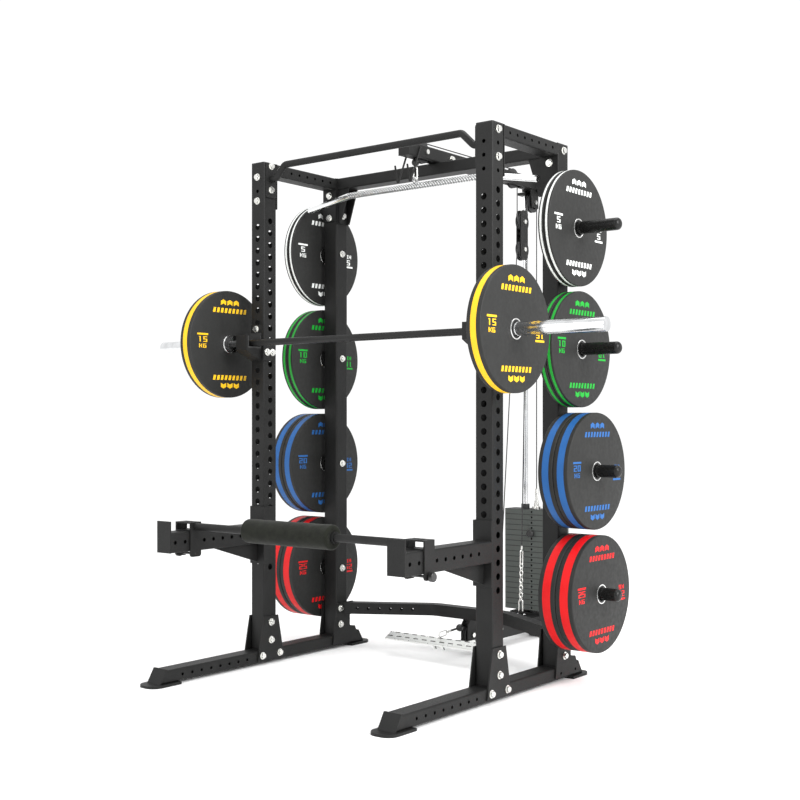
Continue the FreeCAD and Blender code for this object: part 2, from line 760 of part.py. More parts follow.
def lat_head():
    """The wide head on the column, with the plate that holds the guide rods' upper ends."""
    half = head_half
    body = long_tube(-half, half, head_front, column_rear, rack_height, beam_top, V(0, 1, 0), 3.0, 6.0)
    covers = [box(-half, half, column_rear - 3, column_rear, rack_height, beam_top),
              box(-half, half, head_front, head_front + 3, rack_height, beam_top)]
    plate = box(-rod_spread - 28, rod_spread + 28, stack_centre_y - 25, stack_centre_y + 25,
                rack_height - rod_plate, rack_height)
    under = rack_height - rod_plate - 1
    wells = [rod((x, stack_centre_y, under), (x, stack_centre_y, rod_high), rod_dia)
             for x in (-rod_spread, rod_spread)]
    return body.fuse(covers + [plate]).removeSplitter().cut(wells)


def lat_column():
    half = tube / 2
    return long_tube(-half, half, column_rear - column_depth, column_rear,
                     base_beam_top, rack_height, V(0, 0, 1))


def base_beam():
    """The floor beam under the stack, slotted for the base pulley, with a rising nose."""
    half = tube / 2
    nose = base_beam_front + 90
    body = long_tube(-half, half, base_beam_front, column_rear, base_beam_low, base_beam_top, V(0, 1, 0))
    reach = base_pulley_dia / 2 + 17
    tip = base_beam_low + base_nose
    chamfer = [(base_beam_front - 1, base_beam_low - 1), (nose, base_beam_low - 1),
               (nose, base_beam_low), (base_beam_front, tip), (base_beam_front - 1, tip)]
    cuts = [box(-slot_half, slot_half, base_beam_front - 1, base_pulley_y + reach,
                base_beam_top - 10, base_beam_top + 1),
            rod((-half - 1, base_pulley_y, base_pulley_z), (half + 1, base_pulley_y, base_pulley_z),
                pulley_bore),
            prism(chamfer, "X", -half - 1, tube + 2)]
    sheet = [(base_beam_front, tip), (nose, base_beam_low),
             (nose, base_beam_low + tube_wall), (base_beam_front, tip + tube_wall)]
    floor = prism(sheet, "X", -half + 1, tube - 2)
    lug = box(anchor_side - 4, anchor_side + 4, anchor_y - 16, anchor_y + 16,
              base_beam_top - 5, base_beam_top + 22)
    eye_z = base_beam_top + lug_eye
    eye = rod((anchor_side - 5, anchor_y, eye_z), (anchor_side + 5, anchor_y, eye_z), 13)
    return body.cut(cuts).fuse([floor, soften(lug, V(1, 0, 0), 10)]).removeSplitter().cut(eye)


def rear_foot():
    """The cross foot under the column, and the sloping block in front of it."""
    half = tube / 2
    front = column_rear - column_depth
    outline = [(front - 175, base_beam_low), (front - 120, 0), (front, 0), (front, base_beam_low)]
    wedge = prism(outline, "X", -half, tube)
    cross = soften(box(-250, 250, front, column_rear, 0, base_beam_low), V(1, 0, 0), 4)
    return [wedge, cross]


def stack_plate(index):
    """One weight plate, with its rod holes, stem hole and selector pin hole."""
    low = stack_base + index * stack_pitch
    top_plate = index == stack_count - 1
    high = low + stack_pitch - (0 if top_plate else stack_seam)
    half = stack_width / 2
    y = stack_centre_y
    middle = low + stack_pitch / 2
    body = soften(box(-half, half, stack_front, stack_front + stack_depth, low, high), V(0, 0, 1), 5)
    cuts = [rod((0, y, low - 1), (0, y, high + 1), stem_dia + 2 * slide_clearance),
            rod((0, stack_front - 1, middle), (0, y, middle), stem_hole)]
    for side in (-1, 1):
        x = side * rod_spread
        cuts.append(rod((x, y, low - 1), (x, y, high + 1), rod_dia + 2 * slide_clearance))
    return body.cut(cuts)


def selector_stem():
    """The rod down the middle of the stack, with its holes and the cable's connector on top."""
    y = stack_centre_y
    stem = rod((0, y, stack_base + 4), (0, y, stack_top + 40), stem_dia)
    cuts = []
    for index in range(stack_count):
        z = stack_base + (index + 0.5) * stack_pitch
        cuts.append(rod((0, y - stem_dia, z), (0, y + stem_dia, z), stem_hole))
    crown = rod((0, y, stack_top), (0, y, stack_top + 12), 44.0)
    neck = rod((0, y, stack_top + 40), (0, y, stack_top + 66), 14.0)
    socket = rod((0, y, stack_top + 66), (0, y, stem_top), 18.0)
    return stem.cut(cuts).fuse([crown, neck, socket]).removeSplitter()


def selector_pin():
    """The steel pin that picks the plates to lift, and the knob that it is pulled by."""
    seat = stack_front - selector_seat
    back = stack_front - selector_knob_back
    front = back - selector_knob_length
    knob = rod((0, front, pin_z), (0, back, pin_z), selector_knob_dia)
    rims = [e for e in knob.Edges if abs(e.Length - math.pi * selector_knob_dia) < 1]
    neck = rod((0, front, pin_z), (0, seat, pin_z), selector_neck)
    shaft = rod((0, seat, pin_z), (0, stack_centre_y + selector_past, pin_z), selector_dia)
    return [knob.makeFillet(5.0, rims).fuse(neck).removeSplitter(), shaft]


def floating_block():
    """Two side plates with rounded ends that hold the two floating pulleys."""
    top = float_upper_z + 54
    low = float_lower_z - 50
    middle = (float_upper_z + float_lower_z) / 2
    plates = []
    inside = block_half - block_plate
    for x in (-block_half, inside):
        side = box(x, x + block_plate, float_y - 30, float_y + 30, low, top)
        plates.append(soften(side, V(1, 0, 0), 26))
    spacer = rod((-inside, float_y, middle), (inside, float_y, middle), 14)
    bores = [rod((-20, float_y, z), (20, float_y, z), pulley_bore)
             for z in (float_upper_z, float_lower_z)]
    return plates[0].fuse([plates[1], spacer]).removeSplitter().cut(bores)


def cheek_pair(outline, y, z):
    """Two cheek plates with one outline, bored for a pulley's axle."""
    bore = rod((-30, y, z), (30, y, z), pulley_bore)
    starts = (-housing_half, housing_half - cheek_thick)
    return [prism(outline, "X", x, cheek_thick).cut(bore) for x in starts]


def rear_housing():
    """Cheek plates under the arm's end that carry the rear pulley."""
    front, rear = rear_pulley_y - 40, rear_pulley_y + 28
    under = rack_height - rod_plate - 1
    outline = [(front, rack_height), (front + 12, rear_pulley_z - 25), (rear, rear_pulley_z - 25),
               (rear, under), (stack_centre_y - 26, under), (head_front - 10, rack_height)]
    cheeks = cheek_pair(outline, rear_pulley_y, rear_pulley_z)
    top = box(-housing_half, housing_half, front, head_front - 10, rack_height - 5, rack_height)
    return cheeks[0].fuse([cheeks[1], top]).removeSplitter()


def low_housing():
    """Cheeks under the rear bottom beam that carry the low front pulley."""
    y = low_pulley_y
    reach = low_beam_depth / 2
    outline = [(y - 38, 43), (base_beam_front, base_beam_low + base_nose),
               (base_beam_front, base_beam_top - 5), (low_beam_back + reach, low_beam_z),
               (low_beam_back - reach, low_beam_z), (y - 38, 128)]
    cheeks = cheek_pair(outline, y, low_pulley_z)
    top = box(-housing_half, housing_half, low_beam_back - 20, low_beam_back + 20,
              low_beam_z - 6, low_beam_z)
    return cheeks[0].fuse([cheeks[1], top]).removeSplitter()


def bar_hanger(side):
    """A bent rod on the arm's side that a bar can be hung on."""
    x = side * (lat_beam / 2 + 4)
    y = front_pulley_y
    z = rack_height
    return bent_rod([(x, y - 48, z + 42), (x, y - 120, z - 119), (x, y - 138, z - 42)], 8.0, 5.5)


def lat_bar_piece():
    """A long bar with bent ends and an eye in the middle."""
    r = lat_bar_dia / 2
    y = lat_drop_y
    end_z = lat_bar_z - lat_bar_drop
    points = [(-lat_bar_half, y, end_z), (-lat_bar_straight, y, lat_bar_z), (lat_bar_straight, y, lat_bar_z),
              (lat_bar_half, y, end_z)]
    bar = bent_rod(points, lat_bar_dia, 160.0)
    eye_z = lat_bar_z + r + 11
    eye = box(-5, 5, y - 14, y + 14, lat_bar_z + r - 3, lat_bar_z + r + 25)
    return bar.fuse(soften(eye, V(1, 0, 0), 12)).removeSplitter().cut(rod((-6, y, eye_z), (6, y, eye_z), 13))


def loop_link(length, width, wire):
    """A closed long ring of round wire, upright in the YZ plane with its lowest point at the origin."""
    half = width / 2 - wire / 2
    a, b = wire / 2 + half, length - wire / 2 - half
    edges = [Part.LineSegment(V(0, -half, a), V(0, -half, b)).toShape(),
             Part.Arc(V(0, -half, b), V(0, 0, b + half), V(0, half, b)).toShape(),
             Part.LineSegment(V(0, half, b), V(0, half, a)).toShape(),
             Part.Arc(V(0, half, a), V(0, 0, a - half), V(0, -half, a)).toShape()]
    return sweep_round(Part.Wire(edges), wire)


def link_between(start, end, width, wire, quarter):
    """A ring from one point to another; a quarter turn sets it across its neighbour."""
    line = V(*end) - V(*start)
    link = loop_link(line.Length, width, wire)
    link.rotate(V(0, 0, 0), V(0, 0, 1), 90 if quarter else 0)
    turn = FreeCAD.Rotation(V(0, 0, 1), line)
    link.rotate(V(0, 0, 0), turn.Axis, math.degrees(turn.Angle))
    link.translate(V(*start))
    return link


def interlocked(start, way, sizes, quarter):
    """Rings threaded through each other along a line; sizes are (length, width, wire)."""
    links = []
    at = V(*start)
    step = V(*way).normalize()
    last_wire = 0.0
    for length, width, wire in sizes:
        if links:
            at = at - step * (last_wire + wire + link_play)
        end = at + step * length
        links.append(link_between(tuple(at), tuple(end), width, wire, quarter))
        at = end
        last_wire = wire
        quarter = not quarter
    return links


# ---- Cables ----
def run(start, end):
    """A straight stretch of cable, or none where two arcs meet."""
    if (end - start).Length < 0.01:
        return []
    return [Part.LineSegment(start, end).toShape()]


def cable(points, radii):
    """A tight cable: straight runs between wheels, with an arc of the wheel's size at each."""
    nodes = [V(*p) for p in points]
    edges = []
    last = nodes[0]
    for before, corner, after, radius in zip(nodes, nodes[1:], nodes[2:], radii):
        into = (corner - before).normalize()
        out = (after - corner).normalize()
        turn = into.getAngle(out)
        reach = radius * math.tan(turn / 2)
        start = corner - into * reach
        end = corner + out * reach
        middle = corner + (out - into).normalize() * (radius / math.cos(turn / 2) - radius)
        edges.extend(run(last, start))
        edges.append(Part.Arc(start, middle, end).toShape())
        last = end
    edges.extend(run(last, nodes[-1]))
    path = Part.Wire(edges)
    solid = sweep_round(path, cable_dia)
    section = math.pi * cable_dia ** 2 / 4
    print("cable", round(path.Length, 1), "mm, volume over section times length",
          round(solid.Volume / section / path.Length, 4))
    return solid


def lat_cable():
    """From the front pulley's drop, along the arm and round the floating pulley to the rear pulley."""
    g = pulley_groove
    top = beam_pulley_z + g
    floor_z = float_upper_z - g
    rear_top = rear_pulley_z + g
    y = [lat_drop_y, middle_pulley_y + g, float_y + g, rear_pulley_y + g]
    route = [(y[0], beam_pulley_z), (y[0], top), (y[1], top), (y[1], floor_z),
             (y[2], floor_z), (y[2], rear_top), (y[3], rear_top), (y[3], rear_pulley_z)]
    return cable([(0, a, b) for a, b in route], [g] * 6)


def line_cross(p, q, r, s):
    """Where the lines p-q and r-s cross."""
    a1, b1 = q[0] - p[0], q[1] - p[1]
    a2, b2 = s[0] - r[0], s[1] - r[1]
    share = ((r[0] - p[0]) * b2 - (r[1] - p[1]) * a2) / (a1 * b2 - b1 * a2)
    return p[0] + share * a1, p[1] + share * b1


def crossing_tangent(y0, z0, r0, y1, z1, r1, turn):
    """The line that passes on opposite sides of two wheels: its tangent point on each."""
    distance = math.hypot(y1 - y0, z1 - z0)
    base = math.atan2(z1 - z0, y1 - y0)
    angle = base + turn * math.acos((r0 + r1) / distance)
    a, b = math.cos(angle), math.sin(angle)
    return (y0 + r0 * a, z0 + r0 * b), (y1 - r1 * a, z1 - r1 * b)


def low_cable():
    """From the low row end over the low pulley, under the base pulley and over the floating pulley."""
    top = low_pulley_z + low_groove
    peak = float_lower_z + pulley_groove
    leave, meet = crossing_tangent(low_pulley_y, low_pulley_z, low_groove,
                                   base_pulley_y, base_pulley_z, base_groove, 1)
    rise, join = crossing_tangent(base_pulley_y, base_pulley_z, base_groove,
                                  float_y, float_lower_z, pulley_groove, -1)
    start = (low_row_y, top)
    low_corner = line_cross(start, (low_pulley_y, top), leave, meet)
    base_corner = line_cross(leave, meet, rise, join)
    crest = line_cross(rise, join, (0, peak), (1, peak))
    points = [(0, *start), (0, *low_corner), (0, *base_corner), (0, *crest), (0, anchor_y, peak),
              (anchor_top_x, anchor_y, low_anchor_top)]
    return cable(points, [low_groove, base_groove, pulley_groove, pulley_groove])


# ---- Low row ----
def foot_bar():
    """The tread bar for the low row, leaning back, and the two straps that hold it."""
    half = foot_bar_size / 2
    thick = foot_bar_thick / 2
    bar = box(-foot_bar_half, foot_bar_half, foot_bar_y - thick, foot_bar_y + thick,
              foot_bar_z - half, foot_bar_z + half)
    bar = soften(bar, V(1, 0, 0), 4)
    bar.rotate(V(0, foot_bar_y, foot_bar_z), V(1, 0, 0), -foot_bar_tilt)
    lean = math.radians(foot_bar_tilt)
    rise = 1 / math.tan(lean)
    under = foot_bar_z - thick / math.sin(lean)
    near, far = foot_bar_y - 10, foot_bar_y + 14
    outline = [(near, under - 10 * rise), (far, under + 14 * rise), (far + 20, 62), (low_pulley_y + 30, 62),
               (low_pulley_y + 30, 50), (near + 8, 50)]
    starts = (housing_half, -housing_half - cheek_thick)
    return [bar] + [prism(outline, "X", x, cheek_thick) for x in starts]


def low_row_end():
    """Stop ball, cable sleeve, a short chain and its clip, lying forward on the foot bar."""
    top = low_pulley_z + low_groove
    stop = Part.makeSphere(ball_dia / 2, V(0, low_row_y - ball_dia / 2, top))
    sleeve_end = (0, low_row_y - ball_dia - 44, top - 3)
    sleeve = rod(sleeve_end, (0, low_row_y - ball_dia + 2, top), 9.0)
    way = V(0, -1, -0.09)
    first = V(*sleeve_end) - way * sleeve_overlap
    links = interlocked(tuple(first), tuple(way), [(15.0, 12.0, 3.0)] * 4 + [(62.0, 26.0, 5.0)], False)
    return [stop.fuse([sleeve, links[0]]).removeSplitter()] + links[1:]


# ---- Assembly ----
def build_frame():
    for side in (-1, 1):
        add("front_uprights", upright(side, 0.0, True))
        add("rear_uprights", upright(side, rack_depth, False))
        add("upright_caps", upright_cap(side, 0.0), upright_cap(side, rack_depth))
        add("base_rails", base_rail(side))
        add("foot_plates", foot(side, rail_end_front, -1), foot(side, rail_end_rear, 1))
        add("base_gussets", base_gusset(side, True, 0.0), base_gusset(side, False, 0.0),
            rear_gusset(side, True), rear_gusset(side, False))
        add("top_crossmembers", *side_crossmember(side))
    add("top_crossmembers", *rear_top_crossmember())
    add("rear_bottom_crossmember", rear_bottom_crossmember())
    add("pull_up_bar", pull_up_bar())


def build_bolts():
    centre = tube / 2
    for side in (-1, 1):
        outer = side * half_width
        inner = side * (inner_x - plate_thick)
        outer_gusset = side * (half_width + plate_thick)
        post = side * upright_x
        out, back = (side, 0, 0), (-side, 0, 0)
        front, rear = (0, -1, 0), (0, 1, 0)
        places = []
        for z in (rack_height - 25, rack_height - 125):
            places += [((outer, centre, z), out), ((outer, rack_depth + centre, z), out),
                       ((inner, centre, z + 10), back), ((inner, rack_depth + centre, z - 40), back),
                       ((post, tube + plate_thick, z - 50), rear),
                       ((post, rack_depth - plate_thick, z - 50), front),
                       ((post, rear_back, z - 10), rear)]
            if side < 0:
                places.append(((post, 0, z - 36), front))
        for y, z in ((-14, 40), (tube + 14, 40), (centre, 100), (centre, 174)):
            places += [((outer_gusset, y, z), out), ((inner, y, z), back)]
        for z in (100, 174):
            places.append(((outer_gusset, rack_depth + centre, z), out))
        places += [((inner, rack_depth + 20, 178), back), ((inner, rack_depth + 20, 107), back)]
        for index in range(len(stored_discs)):
            places.append(((side * inner_x, peg_y, peg_first + index * peg_pitch), back))
        for place, way in places:
            add("frame_bolts", bolt(place, way))
        hook_bolts = [((post, -hook_back, hook_pin_z + 22), front), ((inner, 14, bar_height - 35), back),
                      ((inner, 45, bar_height - 35), back)]
        for place, way in hook_bolts:
            add("frame_bolts", bolt(place, way, 5.0))
    for way in (-1, 1):
        place = (way * lat_beam / 2, rear_back + 25, rack_height + lat_beam / 2)
        add("frame_bolts", bolt(place, (way, 0, 0), 8.0))
    drill_for_bolts(["front_uprights", "rear_uprights", "base_rails", "base_gussets", "top_crossmembers",
                     "pull_up_bar", "j_hooks", "lat_arm", "storage_pegs"])


def build_storage():
    for side, name in ((-1, "left"), (1, "right")):
        for index, (colour, thick) in enumerate(stored_discs):
            z = peg_first + index * peg_pitch
            add("storage_pegs", *storage_peg(side, z))
            for count in range(2):
                near = side * (half_width + peg_flange + soft_gap + count * (thick + soft_gap))
                add(colour + "_plates_" + name, *disc(near, near + side * thick, peg_y, z - disc_sag))


def build_hooks_and_arms():
    for side, name in ((-1, "left"), (1, "right")):
        add("j_hooks", j_hook(side))
        add("j_hook_liners", j_hook_liner(side))
        add("spotter_arms", spotter_arm(side))
        add("roller_saddles", roller_saddle(side))
        add("saddle_knob_" + name, saddle_knob(side))
    add("roller_bar", *roller_bar())
    add("foam_roller", *foam_roller())


def build_barbell():
    half_shaft = collar_outer + 200
    add("barbell_shaft", rod((-half_shaft, bar_y, bar_height), (half_shaft, bar_y, bar_height), shaft_dia))
    for side, name in ((-1, "left"), (1, "right")):
        near, rim, end = side * collar_inner, side * collar_outer, side * bar_end
        collar = rod((near, bar_y, bar_height), (rim, bar_y, bar_height), collar_dia)
        sleeve = rod((rim, bar_y, bar_height), (end, bar_y, bar_height), sleeve_dia)
        bore = rod((near - side, bar_y, bar_height), (side * (half_shaft + 2), bar_y, bar_height),
                   shaft_dia + 2 * running)
        add("barbell_sleeve_" + name, collar.fuse(sleeve).removeSplitter().cut(bore))
        start = rim + side * soft_gap
        add("barbell_plate_" + name, *disc(start, start + side * bar_disc_thick, bar_y, bar_height))


def build_stack():
    plate_top = base_beam_top + base_plate_thick
    y = stack_centre_y
    add("base_beam", base_beam(), *rear_foot(),
        box(-120, 120, stack_front, stack_front + stack_depth, base_beam_top, plate_top))
    add("lat_column", lat_column(), lat_head())
    for side in (-1, 1):
        x = side * rod_spread
        add("guide_rods", rod((x, y, plate_top), (x, y, rod_high), rod_dia))
        add("stack_pads", ring((x, y, plate_top), (x, y, stack_base), 58.0, rod_dia))
        add("top_bumpers", ring((x, y, stack_top), (x, y, stack_top + 22), 40.0,
                                rod_dia + 2 * slide_clearance))
    for index in range(stack_count):
        node = "stack_lower" if index < stack_count - stack_lifted else "stack_upper"
        add(node, stack_plate(index))
    add("selector_stem", selector_stem())
    add("selector_pin", *selector_pin())


def build_pulleys():
    add("lat_arm", lat_arm())
    add("bar_hangers", bar_hanger(-1), bar_hanger(1))
    add("front_pulley", pulley(front_pulley_y, beam_pulley_z, pulley_dia))
    add("middle_pulley", pulley(middle_pulley_y, beam_pulley_z, pulley_dia))
    add("rear_pulley", pulley(rear_pulley_y, rear_pulley_z, pulley_dia))
    add("floating_upper_pulley", pulley(float_y, float_upper_z, pulley_dia))
    add("low_row_pulleys", pulley(float_y, float_lower_z, pulley_dia),
        pulley(low_pulley_y, low_pulley_z, low_pulley_dia),
        pulley(base_pulley_y, base_pulley_z, base_pulley_dia))
    add("floating_block", floating_block())
    add("pulley_housings", rear_housing(), low_housing())
    add("pulley_axles", axle(lat_beam / 2, front_pulley_y, beam_pulley_z),
        axle(lat_beam / 2, middle_pulley_y, beam_pulley_z),
        axle(housing_half, rear_pulley_y, rear_pulley_z),
        axle(block_half, float_y, float_upper_z), axle(block_half, float_y, float_lower_z),
        axle(housing_half, low_pulley_y, low_pulley_z),
        axle(tube / 2, base_pulley_y, base_pulley_z))


def build_lat_bar():
    ball_low, ball_high = ball_z - ball_dia / 2, ball_z + ball_dia / 2
    link_low = lat_bar_z + lat_bar_dia / 2 + 8
    drop_end = (0, lat_drop_y, beam_pulley_z)
    add("lat_cable_drop", rod((0, lat_drop_y, ball_high), drop_end, cable_dia))
    add("lat_bar", lat_bar_piece())
    link = link_between((0, lat_drop_y, link_low), (0, lat_drop_y, ball_low - link_play),
                        24.0, clip_wire, True)
    add("lat_bar_link", link, Part.makeSphere(ball_dia / 2, V(0, lat_drop_y, ball_z)))


def build_anchor_chain():
    """The low cable's far end: a clip in the base beam's lug, a chain, a clip and a ferrule."""
    clip_low = base_beam_top + lug_eye - 3
    clip_high = anchor_low - (2 * clip_wire + link_play) + 14
    clip = link_between((anchor_side, anchor_y, clip_low), (anchor_side, anchor_y, clip_high),
                        26.0, clip_wire, True)
    to_clip = link_wire + clip_wire + link_play
    to_link = 2 * link_wire + link_play
    bottom = V(anchor_side, anchor_y, clip_high - to_clip)
    cable_end = V(anchor_top_x, anchor_y, low_anchor_top)
    line = cable_end - bottom
    reach = line.Length - ferrule_length - top_clip + to_clip
    link_length = (reach - to_link) / chain_links + to_link
    sizes = [(link_length, 20.0, link_wire)] * chain_links + [(top_clip, 26.0, clip_wire)]
    add("anchor_chain", clip, *interlocked(tuple(bottom), tuple(line), sizes, False))
    ferrule_start = cable_end - V(line).normalize() * ferrule_length
    add("anchor_chain", rod(tuple(ferrule_start), tuple(cable_end), ferrule_dia))


def build_cables():
    add("lat_cable", lat_cable())
    add("low_cable", low_cable())
    build_lat_bar()
    stack_drop = rod((0, stack_centre_y, stem_top), (0, stack_centre_y, rear_pulley_z), cable_dia)
    add("stack_cable_drop", stack_drop)
    build_anchor_chain()
    add("foot_bar", *foot_bar())
    add("low_row_end", *low_row_end())


build_frame()
build_storage()
build_hooks_and_arms()
build_barbell()
build_stack()
build_pulleys()
build_cables()
build_bolts()

# ---- Origin and files ----
everything = Part.makeCompound([solid for group in pieces.values() for solid in group])
bounds = everything.BoundBox
shift = V(0, -(bounds.YMin + bounds.YMax) / 2, 0)
print("moved by", round(shift.y, 3), "nodes", len(pieces))

os.makedirs("parts", exist_ok=True)
for node, solids in pieces.items():
    moved = []
    for solid in solids:
        copy = solid.copy()
        copy.translate(shift)
        moved.extend(copy.Solids)
    shape = moved[0] if len(moved) == 1 else Part.makeCompound(moved)
    if not shape.isValid():
        print("invalid", node)
    shape.exportStep("parts/" + node + ".step")
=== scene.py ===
import math
import bpy
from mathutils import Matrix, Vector, noise


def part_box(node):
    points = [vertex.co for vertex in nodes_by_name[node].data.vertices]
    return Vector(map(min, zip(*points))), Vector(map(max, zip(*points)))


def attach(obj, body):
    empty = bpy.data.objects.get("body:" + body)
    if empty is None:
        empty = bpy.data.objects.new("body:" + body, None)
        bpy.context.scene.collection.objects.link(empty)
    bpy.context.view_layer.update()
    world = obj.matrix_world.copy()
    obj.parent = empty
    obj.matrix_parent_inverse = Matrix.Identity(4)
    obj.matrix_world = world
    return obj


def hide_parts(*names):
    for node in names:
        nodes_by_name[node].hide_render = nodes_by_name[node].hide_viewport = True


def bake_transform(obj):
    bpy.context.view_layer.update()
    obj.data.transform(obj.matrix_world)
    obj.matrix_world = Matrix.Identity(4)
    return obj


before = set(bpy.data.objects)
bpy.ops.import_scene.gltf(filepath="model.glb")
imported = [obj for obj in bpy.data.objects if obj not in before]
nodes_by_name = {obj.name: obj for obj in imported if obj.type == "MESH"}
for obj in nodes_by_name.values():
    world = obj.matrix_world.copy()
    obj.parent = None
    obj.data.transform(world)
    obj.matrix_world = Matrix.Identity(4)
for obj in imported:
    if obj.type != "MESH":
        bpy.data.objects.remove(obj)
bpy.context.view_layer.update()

MM = 0.001

# Texture scales, in cells per metre, and relief depths, in metres
PEEL_CELLS = 900.0         # orange peel of powder coat and paint
PEEL_DEPTH = 0.00018
GRIT_SCALE = 1500.0
GRIT_DEPTH = 0.00010
WAVE_PER_METRE = math.pi / 10    # wave texture scale that gives one wave a metre
GAP_SHADE_EDGES = (0.015, 0.06)       # wave values between which the painted gap shadow turns to paint
KNURL_DIAGONAL = 0.0065          # pitches of the lat bar's two sets of ridges
KNURL_RING = 0.005
KNURL_DEPTH = 0.0006
TREAD_PITCH = 0.046              # grip slots of the foot bar: along, across and the steel between
TREAD_ROW = 0.026
TREAD_MARGIN = 0.0105
TREAD_DEPTH = 0.0008
LINES_ALONG = 40.0               # turning lines on round metal
LINES_ACROSS = 2500.0


# ---- Materials ----
class Surface:
    """A node material with a Principled shader and helpers that add procedural detail to it."""

    def __init__(self, name, colour, rough, metal=0.0, coat=0.0, gloss=0.5):
        self.material = bpy.data.materials.new(name)
        self.material.use_nodes = True
        self.nodes = self.material.node_tree.nodes
        self.links = self.material.node_tree.links
        self.shader = self.nodes["Principled BSDF"]
        self.shader.inputs["Base Color"].default_value = (*colour, 1)
        self.shader.inputs["Roughness"].default_value = rough
        self.shader.inputs["Metallic"].default_value = metal
        self.shader.inputs["Coat Weight"].default_value = coat
        self.shader.inputs["Specular IOR Level"].default_value = gloss
        self.place = self.nodes.new("ShaderNodeTexCoord").outputs["Object"]
        self.height = None

    def stretched(self, scale):
        """The place with each axis scaled by its own factor."""
        mapping = self.nodes.new("ShaderNodeMapping")
        mapping.inputs["Scale"].default_value = scale
        self.links.new(self.place, mapping.inputs["Vector"])
        return mapping.outputs["Vector"]

    def noise(self, scale, detail, stretch=None):
        """Cloudy noise, with scale in cells per metre."""
        texture = self.nodes.new("ShaderNodeTexNoise")
        texture.inputs["Scale"].default_value = scale
        texture.inputs["Detail"].default_value = detail
        source = self.stretched(stretch) if stretch else self.place
        self.links.new(source, texture.inputs["Vector"])
        return texture.outputs["Fac"]

    def cells(self, scale):
        """Distance to the nearest cell centre, with scale in cells per metre."""
        texture = self.nodes.new("ShaderNodeTexVoronoi")
        texture.inputs["Scale"].default_value = scale
        self.links.new(self.place, texture.inputs["Vector"])
        return texture.outputs["Distance"]

    def waves(self, axis, period):
        """Even waves along one axis, one per period in metres."""
        texture = self.nodes.new("ShaderNodeTexWave")
        texture.bands_direction = axis
        texture.inputs["Scale"].default_value = WAVE_PER_METRE / period
        self.links.new(self.place, texture.inputs["Vector"])
        return texture.outputs["Fac"]

    def spread(self, factor, low, high, start=0.3, end=0.7):
        """Map a texture's value to a range."""
        node = self.nodes.new("ShaderNodeMapRange")
        node.inputs["From Min"].default_value = start
        node.inputs["From Max"].default_value = end
        node.inputs["To Min"].default_value = low
        node.inputs["To Max"].default_value = high
        self.links.new(factor, node.inputs["Value"])
        return node.outputs["Result"]

    def tint(self, factor, low, high, start=0.35, end=0.65):
        """Colour that varies with a texture's value."""
        ramp = self.nodes.new("ShaderNodeValToRGB")
        ramp.color_ramp.elements[0].position = start
        ramp.color_ramp.elements[0].color = (*low, 1)
        ramp.color_ramp.elements[1].position = end
        ramp.color_ramp.elements[1].color = (*high, 1)
        self.links.new(factor, ramp.inputs["Fac"])
        self.links.new(ramp.outputs["Color"], self.shader.inputs["Base Color"])
        return self

    def coordinate(self, axis):
        """One coordinate of the point, in metres in the part's frame."""
        node = self.nodes.new("ShaderNodeSeparateXYZ")
        self.links.new(self.place, node.inputs["Vector"])
        return node.outputs[axis]

    def combine(self, operation, first, second):
        """A maths node; each input is a socket or a number."""
        node = self.nodes.new("ShaderNodeMath")
        node.operation = operation
        for socket, value in zip(node.inputs, (first, second)):
            if isinstance(value, float):
                socket.default_value = value
            else:
                self.links.new(value, socket)
        return node.outputs["Value"]

    def rough(self, factor, low, high):
        """Roughness that varies with a texture's value."""
        self.links.new(self.spread(factor, low, high), self.shader.inputs["Roughness"])
        return self

    def bump(self, factor, depth, strength):
        """Add relief of a depth in metres on top of any already there."""
        node = self.nodes.new("ShaderNodeBump")
        node.inputs["Strength"].default_value = strength
        node.inputs["Distance"].default_value = depth
        self.links.new(factor, node.inputs["Height"])
        if self.height:
            self.links.new(self.height, node.inputs["Normal"])
        self.height = node.outputs["Normal"]
        self.links.new(self.height, self.shader.inputs["Normal"])
        return self


def shade(colour, factor):
    """A colour made lighter or darker."""
    return tuple(min(1.0, channel * factor) for channel in colour)


def powder_coat(name, colour, rough):
    """Fine textured powder coat."""
    s = Surface(name, colour, rough, gloss=0.26)
    s.tint(s.noise(9.0, 5.0), shade(colour, 0.82), shade(colour, 1.2))
    s.rough(s.noise(320.0, 2.0), rough - 0.08, rough + 0.12)
    s.bump(s.cells(PEEL_CELLS), PEEL_DEPTH, 0.55)
    s.bump(s.noise(GRIT_SCALE, 2.0), GRIT_DEPTH, 0.5)
    return s.material


def stack_paint_and_gap_shade(name, colour, pitch):
    """Grey paint on stacked plates, with painted shade: a dark line where the gap between two plates
    would be in shadow.
    """
    s = Surface(name, colour, 0.5, gloss=0.3)
    # painted shade: the dark line stands in for the shadow in the gap between two stack plates
    s.tint(s.waves("Z", pitch), shade(colour, 0.2), colour, *GAP_SHADE_EDGES)
    s.rough(s.noise(320.0, 2.0), 0.42, 0.6)
    s.bump(s.cells(PEEL_CELLS), PEEL_DEPTH, 0.5)
    return s.material


def moulded_rubber(name, colour, rough):
    """Dense rubber with a faint moulding grain."""
    s = Surface(name, colour, rough, gloss=0.3)
    s.tint(s.noise(14.0, 6.0), shade(colour, 0.93), shade(colour, 1.07))
    s.rough(s.noise(60.0, 4.0), rough - 0.07, rough + 0.1)
    s.bump(s.noise(700.0, 3.0), 0.00012, 0.5)
    return s.material


def bright_metal(name, colour, rough, grain_axis=None):
    """Plated or turned steel, with fine lines along one axis when it is given."""
    s = Surface(name, colour, rough, 1.0)
    s.tint(s.noise(30.0, 4.0), shade(colour, 0.9), shade(colour, 1.08))
    s.rough(s.noise(140.0, 3.0), rough * 0.75, rough * 1.35)
    if grain_axis is not None:
        stretch = [LINES_ALONG] * 3
        stretch[grain_axis] = LINES_ACROSS
        s.bump(s.noise(1.0, 2.0, stretch), 0.00002, 0.35)
    return s.material


